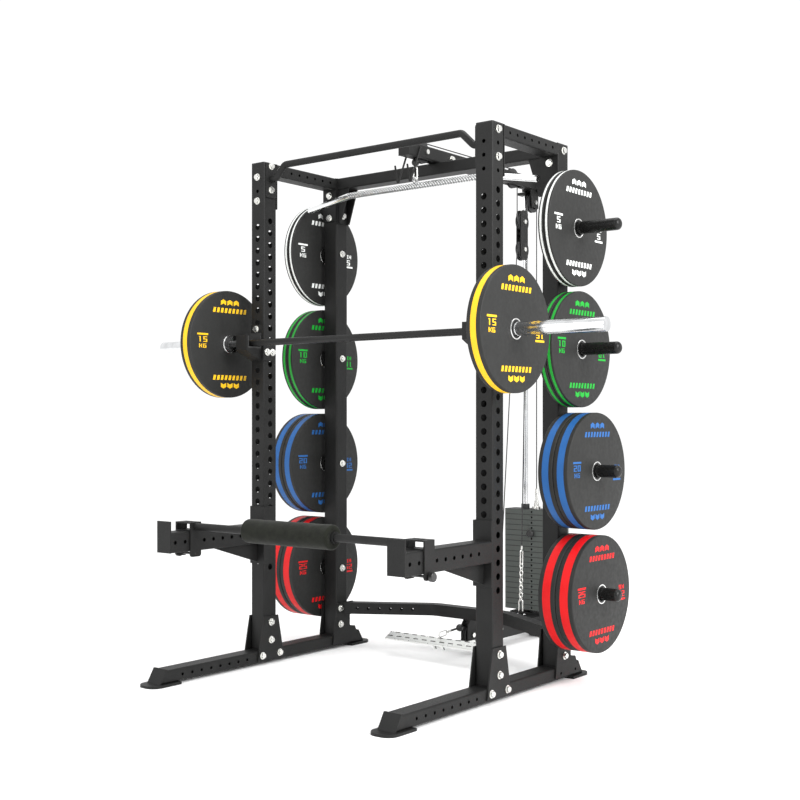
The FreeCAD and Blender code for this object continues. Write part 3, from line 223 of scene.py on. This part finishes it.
def plastic(name, colour, rough, coat=0.0):
    """Moulded plastic, with a clear coat where it is shiny."""
    s = Surface(name, colour, rough, coat=coat, gloss=0.4)
    s.tint(s.noise(25.0, 3.0), shade(colour, 0.88), shade(colour, 1.12))
    s.rough(s.noise(180.0, 2.0), rough - 0.05, rough + 0.08)
    s.bump(s.noise(900.0, 2.0), 0.00004, 0.4)
    return s.material


def knurled(name, colour, rough, half_length):
    """Chrome, with a diagonal knurl on the straight middle and plain bent ends; the knurl is painted
    dark as shade between its teeth.
    """
    s = Surface(name, colour, rough, 1.0)
    ridges = s.combine("ADD", s.waves("DIAGONAL", KNURL_DIAGONAL), s.waves("X", KNURL_RING))
    inside = s.combine("LESS_THAN", s.combine("ABSOLUTE", s.coordinate("X"), 0.0), half_length)
    knurl_and_shade = s.combine("MULTIPLY", s.spread(ridges, 0.0, 1.0, 0.7, 1.3), inside)
    # painted shade: the knurl is tinted dark for the shadow between its teeth
    s.tint(knurl_and_shade, shade(colour, 1.05), shade(colour, 0.16), 0.25, 0.85)
    s.bump(knurl_and_shade, KNURL_DEPTH, 0.9)
    s.rough(s.noise(100.0, 3.0), rough * 0.7, rough * 1.4)
    return s.material


def metal_or_plastic(name, metal, dark, axis, edge):
    """Bright metal below one coordinate and black plastic above it."""
    s = Surface(name, metal, 0.3)
    above = s.combine("GREATER_THAN", s.coordinate(axis), edge)
    s.tint(above, metal, dark, 0.4, 0.6)
    s.links.new(s.combine("SUBTRACT", 1.0, above), s.shader.inputs["Metallic"])
    s.rough(s.noise(150.0, 3.0), 0.22, 0.4)
    s.bump(s.noise(800.0, 2.0), 0.00004, 0.4)
    return s.material


def tread(name, colour, lean):
    """Galvanised bar with two rows of short grip slots along it, recessed and painted near black as
    the shade inside them.
    """
    s = Surface(name, colour, 0.3, 0.85)
    mapping = s.nodes.new("ShaderNodeMapping")
    mapping.inputs["Rotation"].default_value = (lean - math.pi / 2, 0, 0)
    s.links.new(s.place, mapping.inputs["Vector"])
    slots = s.nodes.new("ShaderNodeTexBrick")
    for socket, value in (("Scale", 1.0), ("Brick Width", TREAD_PITCH), ("Row Height", TREAD_ROW),
                          ("Mortar Size", TREAD_MARGIN), ("Mortar Smooth", 0.1)):
        slots.inputs[socket].default_value = value
    s.links.new(mapping.outputs["Vector"], slots.inputs["Vector"])
    mortar = slots.outputs["Fac"]
    # painted shade: the slots are tinted near black for the shadow inside them
    s.tint(mortar, shade(colour, 0.12), colour, 0.3, 0.7)
    s.bump(mortar, TREAD_DEPTH, 0.8)
    s.rough(s.noise(90.0, 4.0), 0.24, 0.42)
    s.bump(s.noise(400.0, 3.0), 0.00005, 0.4)
    return s.material


def foam_skin(name, colour):
    """Closed-cell foam: a matt skin with small pores."""
    s = Surface(name, colour, 0.85, gloss=0.15)
    s.tint(s.noise(45.0, 6.0), shade(colour, 0.75), shade(colour, 1.3))
    s.rough(s.noise(300.0, 3.0), 0.78, 0.95)
    s.bump(s.cells(420.0), 0.0005, 0.6)
    s.bump(s.noise(1300.0, 3.0), 0.0002, 0.5)
    s.shader.inputs["Sheen Weight"].default_value = 0.08
    return s.material


BLACK = (0.0078, 0.0079, 0.0077)
BALL_BLACK = (0.01, 0.01, 0.01)
BALL = 0.032               # stop balls
ROW_SLEEVE = 0.046         # black cable sleeve in front of the low row's ball
BAR_STRAIGHT = 0.36        # half of the lat bar's straight middle
TREAD_LEAN = math.radians(62)    # lean of the foot bar's face
STACK_PITCH = 0.025        # height of one stack plate
link_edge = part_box("lat_bar_link")[1][2] - BALL
row_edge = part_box("low_row_end")[1][1] - BALL - ROW_SLEEVE
look = {
    "frame": powder_coat("frame_black", BLACK, 0.5),
    "bracket": powder_coat("bracket_black", shade(BLACK, 1.1), 0.5),
    "peg": powder_coat("peg_black", shade(BLACK, 0.7), 0.3),
    "shaft": powder_coat("shaft_black", shade(BLACK, 1.2), 0.34),
    "zinc": bright_metal("zinc", (0.82, 0.82, 0.79), 0.24),
    "chrome": bright_metal("chrome", (0.74, 0.75, 0.76), 0.14, 0),
    "rod_chrome": bright_metal("rod_chrome", (0.84, 0.85, 0.86), 0.1, 2),
    "knurl_and_shade": knurled("knurl_chrome", (0.84, 0.85, 0.85), 0.16, BAR_STRAIGHT),
    "steel": tread("tread_steel", (0.78, 0.79, 0.77), TREAD_LEAN),
    "link": metal_or_plastic("link_and_ball", (0.8, 0.8, 0.78), BALL_BLACK, "Z", link_edge),
    "row_end": metal_or_plastic("row_chain_and_ball", (0.62, 0.62, 0.6), BALL_BLACK, "Y", row_edge),
    "stack": stack_paint_and_gap_shade("stack_grey", (0.072, 0.080, 0.074), STACK_PITCH),
    "cap": plastic("cap_plastic", (0.016, 0.016, 0.016), 0.45),
    "liner": plastic("liner_plastic", (0.03, 0.03, 0.03), 0.5),
    "pulley": plastic("pulley_plastic", (0.018, 0.018, 0.019), 0.38),
    "cable": plastic("cable_nylon", (0.012, 0.012, 0.012), 0.28, 0.4),
    "knob": plastic("knob_plastic", (0.014, 0.014, 0.014), 0.3, 0.3),
    "rubber": moulded_rubber("plate_rubber", (0.0165, 0.0167, 0.016), 0.55),
    "hub": bright_metal("hub_steel", (0.8, 0.8, 0.79), 0.22),
    "hub_dark": powder_coat("hub_dark", (0.012, 0.012, 0.012), 0.4),
    "foam": foam_skin("foam_skin", (0.0075, 0.0085, 0.0055)),
}
BANDS = {
    "white": (0.80, 0.82, 0.80),
    "green": (0.006, 0.34, 0.028),
    "yellow": (0.86, 0.50, 0.012),
    "blue": (0.018, 0.11, 0.34),
    "red": (0.68, 0.006, 0.008),
}
for band_name, band_colour in BANDS.items():
    look[band_name] = moulded_rubber(band_name + "_rubber", band_colour, 0.48)

finish = {
    "frame": ["front_uprights", "rear_uprights", "base_rails", "top_crossmembers", "pull_up_bar",
              "rear_bottom_crossmember", "lat_arm", "lat_column", "base_beam", "spotter_arms",
              "roller_saddles"],
    "bracket": ["foot_plates", "base_gussets", "j_hooks", "pulley_housings", "floating_block",
                "bar_hangers", "roller_bar"],
    "peg": ["storage_pegs"],
    "shaft": ["barbell_shaft"],
    "zinc": ["frame_bolts", "pulley_axles", "anchor_chain", "selector_stem"],
    "chrome": ["barbell_sleeve_left", "barbell_sleeve_right"],
    "rod_chrome": ["guide_rods"],
    "knurl_and_shade": ["lat_bar"],
    "steel": ["foot_bar"],
    "link": ["lat_bar_link"],
    "row_end": ["low_row_end"],
    "stack": ["stack_lower", "stack_upper"],
    "cap": ["upright_caps", "stack_pads", "top_bumpers"],
    "liner": ["j_hook_liners"],
    "pulley": ["front_pulley", "middle_pulley", "rear_pulley", "floating_upper_pulley",
               "low_row_pulleys"],
    "cable": ["lat_cable", "low_cable", "lat_cable_drop", "stack_cable_drop"],
    "knob": ["selector_pin", "saddle_knob_left", "saddle_knob_right"],
}
for kind, names in finish.items():
    for name in names:
        for slot in nodes_by_name[name].material_slots:
            slot.material = look[kind]


# ---- Mesh helpers ----
SHARP_ANGLE = math.radians(32)


def new_object(name, points, faces, materials, indices=None):
    """A smooth piece with sharp edges kept; indices give each face's material."""
    mesh = bpy.data.meshes.new(name)
    mesh.from_pydata(points, [], faces)
    for kind in materials:
        mesh.materials.append(look[kind])
    if indices:
        for polygon, index in zip(mesh.polygons, indices):
            polygon.material_index = index
    mesh.polygons.foreach_set("use_smooth", [True] * len(mesh.polygons))
    mesh.set_sharp_from_angle(angle=SHARP_ANGLE)
    mesh.validate()
    piece = bpy.data.objects.new(name, mesh)
    bpy.context.scene.collection.objects.link(piece)
    return piece


def settle(piece, body):
    """Tie a piece to the body that carries it."""
    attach(piece, body)


def ring_faces(count, steps):
    """Faces between the turned copies of a closed outline of count points."""
    faces = []
    for step in range(steps):
        here = step * count
        there = (step + 1) % steps * count
        for i in range(count):
            j = (i + 1) % count
            faces.append((here + i, here + j, there + j, there + i))
    return faces


def lathe(profile, steps, centre):
    """Turn a closed outline of (radius, x, material) about the X axis.

    The material of a segment goes with its first point.
    """
    points = []
    for step in range(steps):
        angle = 2 * math.pi * step / steps
        c, s = math.cos(angle), math.sin(angle)
        for radius, x, _ in profile:
            points.append((centre[0] + x, centre[1] + radius * c, centre[2] + radius * s))
    indices = [material for _, _, material in profile] * steps
    return points, ring_faces(len(profile), steps), indices


# ---- Bumper plates ----
# Each figure is drawn on a grid two wide and four high: bars as (x0, y0, x1, y1).
CELL_WIDE = 2
CELL_HIGH = 4
CELL_GAP = 0.55
STROKE = 0.6
KNEE = 1.2                 # the K's slanted strokes are stepped at these two places
TOE = 1.6
TOE_HIGH = 0.8
G_BAR = 0.9
FIGURES = {"0": "abcdef", "2": "abged", "5": "afgcd", "G": "afedcg"}

# Marks on a plate's face, in mm from the plate's centre
ARROW_PITCH = 37.0
ARROW_HALF = 15
ARROW_LOW = 163
ARROW_HIGH = 180
ARROW_RISE = 7
DASHES = 9
DASH_PITCH = 22.0
DASH_UP = 141
DASH_WIDE = 13.0
DASH_HIGH = 20.0
DASH_LEAN = 2.5
WEIGHT_ACROSS = -154
LINE_UP = 36
LINE_WIDE = 60.0
LINE_HIGH = 7.5
NUMBER_UP = 15
NUMBER_HIGH = 23.0
NUMBER_WIDE = {1: 24.0, 2: 50.0}
UNIT_UP = -12
UNIT_WIDE = 40.0
UNIT_HIGH = 17.0


def figure_bars(mark):
    """The bars of one figure in its cell, without overlaps."""
    w = STROKE
    wide, high, middle = CELL_WIDE, CELL_HIGH, CELL_HIGH / 2
    if mark == "1":
        axis = wide / 2
        return [(axis - w / 2, 0, axis + w / 2, high), (axis - w, high - w, axis - w / 2, high)]
    if mark == "K":
        return [(0, 0, w, high), (w, middle - w / 2, KNEE, middle + w / 2),
                (KNEE, middle + w / 4, KNEE + w, high - TOE_HIGH),
                (KNEE, TOE_HIGH, KNEE + w, middle - w / 4),
                (TOE, high - TOE_HIGH, wide, high), (TOE, 0, wide, TOE_HIGH)]
    sides = {
        "f": (0, middle + w / 2, w, high - w), "e": (0, w, w, middle - w / 2),
        "b": (wide - w, middle + w / 2, wide, high - w), "c": (wide - w, w, wide, middle - w / 2),
        "a": (0, high - w, wide, high), "d": (0, 0, wide, w),
        "g": (0, middle - w / 2, wide, middle + w / 2),
    }
    bars = [sides[part] for part in FIGURES[mark]]
    left_joint = (0, middle - w / 2, w, middle + w / 2)
    if mark == "0":
        bars.append(left_joint)
        bars.append((wide - w, middle - w / 2, wide, middle + w / 2))
    if mark == "G":
        bars[-1] = (G_BAR, middle - w / 2, wide, middle + w / 2)
        bars.append(left_joint)
    return bars


def word(marks, centre, width, height):
    """Outlines of a row of figures, in mm on the plate's face."""
    total = len(marks) * CELL_WIDE + (len(marks) - 1) * CELL_GAP
    sx, sy = width / total, height / CELL_HIGH
    outlines = []
    for index, mark in enumerate(marks):
        left = index * (CELL_WIDE + CELL_GAP)
        for x0, y0, x1, y1 in figure_bars(mark):
            u0 = centre[0] + (left + x0 - total / 2) * sx
            u1 = centre[0] + (left + x1 - total / 2) * sx
            v0 = centre[1] + (y0 - CELL_HIGH / 2) * sy
            v1 = centre[1] + (y1 - CELL_HIGH / 2) * sy
            outlines.append([(u0, v0), (u1, v0), (u1, v1), (u0, v1)])
    return outlines


def bar_shape(centre, width, height, lean=0.0):
    """A bar about its centre, with its top pushed right by the lean and its foot left."""
    u, v = centre
    a, b = width / 2, height / 2
    return [(u - a - lean, v - b), (u + a - lean, v - b), (u + a + lean, v + b), (u - a + lean, v + b)]


def plate_marks(number):
    """All outlines on one face: a plain stripe motif at the top and the weight at the left.

    Both are repeated upside down.
    """
    shapes = []
    for step in (-1, 0, 1):
        u = step * ARROW_PITCH
        left, right = u - ARROW_HALF, u + ARROW_HALF
        notch, peak = (u, ARROW_LOW + ARROW_RISE), (u, ARROW_HIGH + ARROW_RISE)
        shapes.append([(left, ARROW_LOW), notch, peak, (left, ARROW_HIGH)])
        shapes.append([notch, (right, ARROW_LOW), (right, ARROW_HIGH), peak])
    for step in range(DASHES):
        across = (step - DASHES // 2) * DASH_PITCH
        shapes.append(bar_shape((across, DASH_UP), DASH_WIDE, DASH_HIGH, DASH_LEAN))
    shapes.append(bar_shape((WEIGHT_ACROSS, LINE_UP), LINE_WIDE, LINE_HIGH))
    shapes += word(number, (WEIGHT_ACROSS, NUMBER_UP), NUMBER_WIDE[len(number)], NUMBER_HIGH)
    shapes += word("KG", (WEIGHT_ACROSS, UNIT_UP), UNIT_WIDE, UNIT_HIGH)
    turned = [[(-u, -v) for u, v in shape] for shape in shapes]
    return shapes + turned


def raise_marks(shapes, centre, face_x, outward, depth, base):
    """Thin prisms that reach from inside a plate's rubber face out to its full width."""
    points, faces = [], []
    for shape in shapes:
        start = len(points)
        count = len(shape)
        for x in (face_x - outward * depth, face_x):
            for u, v in shape:
                points.append((x, centre[1] + outward * u * MM, centre[2] + v * MM))
        faces.append([start + count + i for i in range(count)])
        faces.append([start + i for i in reversed(range(count))])
        for i in range(count):
            j = (i + 1) % count
            faces.append((start + i, start + j, start + count + j, start + count + i))
    return points, [tuple(base + i for i in face) for face in faces]


RUBBER, BAND, HUB_RING, HUB = range(4)    # material places of a bumper plate
FACE_RECESS = 0.0006       # rubber face inside the plate's full width
PLATE_BORE = 0.0254        # radius
BORE_BEVEL = (0.0008, 0.0009)
RING_INNER = 0.0334        # radii of the bright ring round the bore
RING_OUTER = 0.0370
RING_BEVEL = 0.0004
GROOVE = (0.0390, 0.0420)  # shallow groove outside the ring
GROOVE_DEPTH = 0.0002
EDGE_ROUND = ((0.0045, FACE_RECESS), (0.0026, 0.0010), (0.0011, 0.0022), (0.0003, 0.0038))
EDGE_END = 0.0052
BAND_STEP = 0.0005
DISC_STEPS = 160
DISC_GAP = 0.3 * MM        # between the two discs of a pair
MARK_DEPTH = 0.0009


def disc_outline(thick, band, radius, bore):
    """Closed outline of one plate, as (radius, x, material)."""
    face = FACE_RECESS
    half = [(bore, face + BORE_BEVEL[1], HUB), (bore + BORE_BEVEL[0], face, HUB),
            (RING_INNER - RING_BEVEL, face, HUB_RING), (RING_INNER, 0.0, HUB_RING),
            (RING_OUTER, 0.0, HUB_RING), (RING_OUTER + RING_BEVEL, face, RUBBER),
            (GROOVE[0], face + GROOVE_DEPTH, RUBBER), (GROOVE[1], face, RUBBER)]
    half += [(radius - inset, x, RUBBER) for inset, x in EDGE_ROUND]
    start = (thick - band) / 2
    rim = [(radius, EDGE_END, RUBBER), (radius, start - 0.8 * BAND_STEP, RUBBER),
           (radius - BAND_STEP, start - 0.2 * BAND_STEP, BAND),
           (radius - 0.2 * BAND_STEP, start + 0.8 * BAND_STEP, BAND)]
    near = half + rim
    outline = list(near)
    for index in reversed(range(len(near))):
        r, x, _ = near[index]
        material = near[index - 1][2] if index else HUB
        outline.append((r, thick - x, material))
    return outline


def bumper_plates(node, body, colour, number, discs, band_share):
    """One or more bumper plates side by side, in place of a CAD node."""
    low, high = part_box(node)
    centre = [(low[i] + high[i]) / 2 for i in range(3)]
    gap = DISC_GAP if discs > 1 else 0.0
    thick = (high[0] - low[0] - gap) / discs
    radius = (high[1] - low[1]) / 2
    points, faces, indices = [], [], []
    for index in range(discs):
        x0 = low[0] + index * (thick + gap)
        outline = disc_outline(thick, thick * band_share, radius, PLATE_BORE)
        p, f, m = lathe(outline, DISC_STEPS, (x0, centre[1], centre[2]))
        base = len(points)
        points += p
        faces += [tuple(base + i for i in face) for face in f]
        indices += m
    shapes = plate_marks(number)
    for face_x, outward in ((low[0], -1), (high[0], 1)):
        p, f = raise_marks(shapes, centre, face_x, outward, MARK_DEPTH, len(points))
        points += p
        faces += f
        indices += [BAND] * len(f)
    piece = new_object("bumper_" + node, points, faces, ["rubber", colour, "hub", "hub_dark"], indices)
    settle(piece, body)
    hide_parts(node)


for side in ("left", "right"):
    for colour, number, band in (("red", "25", 0.46), ("blue", "20", 0.44), ("green", "10", 0.36),
                                 ("white", "5", 0.36)):
        bumper_plates(colour + "_plates_" + side, colour + "_pair_" + side, colour, number, 2, band)
    bumper_plates("barbell_plate_" + side, "bar_plate_" + side, "yellow", "15", 1, 0.40)


# ---- Leg roller ----
FOAM_SLACK = 0.0006        # room for the uneven skin inside the CAD box
FOAM_BORE = 0.0195
FOAM_BORE_BEVEL = (0.004, 0.002)
FOAM_END_ROUND = 0.009
FOAM_ARC = 6
FOAM_ALONG = 60
FOAM_AROUND = 96
SKIN_FROM = 0.8            # share of the radius past which a point is on the skin
SKIN_WAVES = ((0.0009, 22, 1.6), (0.0004, 90, 6))    # depth, density along and around
CORE_INNER = 0.0151
CORE_OUTER = 0.0191
CORE_STEPS = 64


def skin_swell(x, c, s):
    """Unevenness of the foam's skin: long soft waves with finer ones on top."""
    swell = 0.0
    for depth, along, around in SKIN_WAVES:
        swell += depth * noise.noise(Vector((x * along, c * around, s * around)))
    return swell


def foam_outline(low_x, high_x, radius):
    """Closed outline of the foam as (radius, x), with rounded ends."""
    bevel_r, bevel_x = FOAM_BORE_BEVEL
    end = [(FOAM_BORE, low_x + bevel_x), (FOAM_BORE + bevel_r, low_x)]
    for step in reversed(range(FOAM_ARC + 1)):
        angle = math.pi / 2 * step / FOAM_ARC
        x = low_x + FOAM_END_ROUND * (1 - math.sin(angle))
        end.append((radius - FOAM_END_ROUND * (1 - math.cos(angle)), x))
    length = high_x - low_x - 2 * FOAM_END_ROUND
    start = low_x + FOAM_END_ROUND
    middle = [(radius, start + length * i / FOAM_ALONG) for i in range(1, FOAM_ALONG)]
    mirrored = [(r, low_x + high_x - x) for r, x in reversed(end)]
    return end + middle + mirrored


def foam_pad():
    """The foam sleeve, with soft rounded ends and a slightly uneven skin."""
    low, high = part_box("foam_roller")
    centre_y, centre_z = (low[1] + high[1]) / 2, (low[2] + high[2]) / 2
    radius = (high[2] - low[2]) / 2 - FOAM_SLACK
    outline = foam_outline(low[0], high[0], radius)
    points = []
    for step in range(FOAM_AROUND):
        angle = 2 * math.pi * step / FOAM_AROUND
        c, s = math.cos(angle), math.sin(angle)
        for r, x in outline:
            swell = skin_swell(x, c, s) if r > radius * SKIN_FROM else 0.0
            reach = min(r + swell, radius + FOAM_SLACK)
            points.append((x, centre_y + reach * c, centre_z + reach * s))
    pad = new_object("foam_sleeve", points, ring_faces(len(outline), FOAM_AROUND), ["foam"])
    settle(pad, "roller")
    return pad


def roller_core():
    """The tube that the foam is glued on."""
    low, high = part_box("foam_roller")
    centre_y, centre_z = (low[1] + high[1]) / 2, (low[2] + high[2]) / 2
    outline = [(CORE_INNER, low[0], 0), (CORE_OUTER, low[0], 0),
               (CORE_OUTER, high[0], 0), (CORE_INNER, high[0], 0)]
    points, faces, indices = lathe(outline, CORE_STEPS, (0.0, centre_y, centre_z))
    core = new_object("roller_core", points, faces, ["cap"], indices)
    settle(core, "roller")
    return core


pad = foam_pad()
core = roller_core()
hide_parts("foam_roller")
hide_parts("foam_roller")


# ---- Straight cable drops, built once at their CAD length; the real ones change length as the stack moves ----
DROP_SIDES = 16
DROP_RINGS = 64


def cable_drop(node):
    """A straight cable from the frame at its top to a moving body at its bottom."""
    low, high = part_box(node)
    centre_x, centre_y = (low[0] + high[0]) / 2, (low[1] + high[1]) / 2
    radius = (high[0] - low[0]) / 2
    points, faces = [], []
    for ring in range(DROP_RINGS + 1):
        z = low[2] + (high[2] - low[2]) * ring / DROP_RINGS
        for side in range(DROP_SIDES):
            angle = 2 * math.pi * side / DROP_SIDES
            across, along = radius * math.cos(angle), radius * math.sin(angle)
            points.append((centre_x + across, centre_y + along, z))
    for ring in range(DROP_RINGS):
        for side in range(DROP_SIDES):
            here = ring * DROP_SIDES + side
            there = ring * DROP_SIDES + (side + 1) % DROP_SIDES
            faces.append((here, there, there + DROP_SIDES, here + DROP_SIDES))
    faces.append(tuple(reversed(range(DROP_SIDES))))
    faces.append(tuple(DROP_RINGS * DROP_SIDES + side for side in range(DROP_SIDES)))
    drop = new_object("drop_" + node, points, faces, ["cable"])
    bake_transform(drop)
    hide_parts(node)


cable_drop("lat_cable_drop")
cable_drop("stack_cable_drop")


# ---- Floor, light and camera ----
FLOOR_HALF = 14.0
FLOOR_WHITE = 0.97
FLOOR_VARIES = 0.005
SKY_STRENGTH = 1.06
LAMP_SIZE = 4.0
LAMPS = {                  # place, aim and power in watts
    "key": ((6.5, -1.0, 4.0), (0, 0, 1.0), 520.0),
    "fill": ((-1.5, -7.0, 3.5), (0, 0, 1.0), 120.0),
    "top": ((0.5, 0.3, 6.5), (0, 0, 0), 160.0),
}
CAMERA_PLACE = (3.06, -4.085, 1.025)
CAMERA_TURN = math.radians(38.2)
CAMERA_LENS = 54.9         # mm, on a sensor 36 mm wide
CAMERA_SENSOR = 36.0
CAMERA_SHIFT = 0.0238      # raises the level view a little


def floor():
    """A pale floor under the rack."""
    half = FLOOR_HALF
    corners = [(-half, -half, 0), (half, -half, 0), (half, half, 0), (-half, half, 0)]
    mesh = bpy.data.meshes.new("floor")
    mesh.from_pydata(corners, [], [(0, 1, 2, 3)])
    ground = bpy.data.objects.new("floor", mesh)
    bpy.context.scene.collection.objects.link(ground)
    white = (FLOOR_WHITE,) * 3
    pale = Surface("pale_floor", white, 0.8)
    darker = (FLOOR_WHITE - FLOOR_VARIES,) * 3
    lighter = (FLOOR_WHITE + FLOOR_VARIES,) * 3
    pale.tint(pale.noise(2.0, 3.0), darker, lighter)
    mesh.materials.append(pale.material)


def light():
    """An even white studio with three area lamps."""
    world = bpy.data.worlds.new("studio")
    world.use_nodes = True
    background = world.node_tree.nodes["Background"]
    background.inputs["Color"].default_value = (1, 1, 1, 1)
    background.inputs["Strength"].default_value = SKY_STRENGTH
    bpy.context.scene.world = world
    for name, (place, aim, power) in LAMPS.items():
        lamp = bpy.data.lights.new(name, "AREA")
        lamp.energy = power
        lamp.size = LAMP_SIZE
        holder = bpy.data.objects.new(name, lamp)
        holder.location = place
        holder.rotation_euler = (Vector(aim) - Vector(place)).to_track_quat("-Z", "Y").to_euler()
        bpy.context.scene.collection.objects.link(holder)


def camera():
    """A level camera at half height, to the right of the front."""
    lens = bpy.data.cameras.new("camera")
    lens.sensor_width = CAMERA_SENSOR
    lens.lens = CAMERA_LENS
    lens.shift_y = CAMERA_SHIFT
    holder = bpy.data.objects.new("camera", lens)
    holder.location = CAMERA_PLACE
    holder.rotation_euler = (math.radians(90), 0, CAMERA_TURN)
    bpy.context.scene.collection.objects.link(holder)
    bpy.context.scene.camera = holder


floor()
light()
camera()
bpy.context.scene.view_settings.view_transform = "Standard"
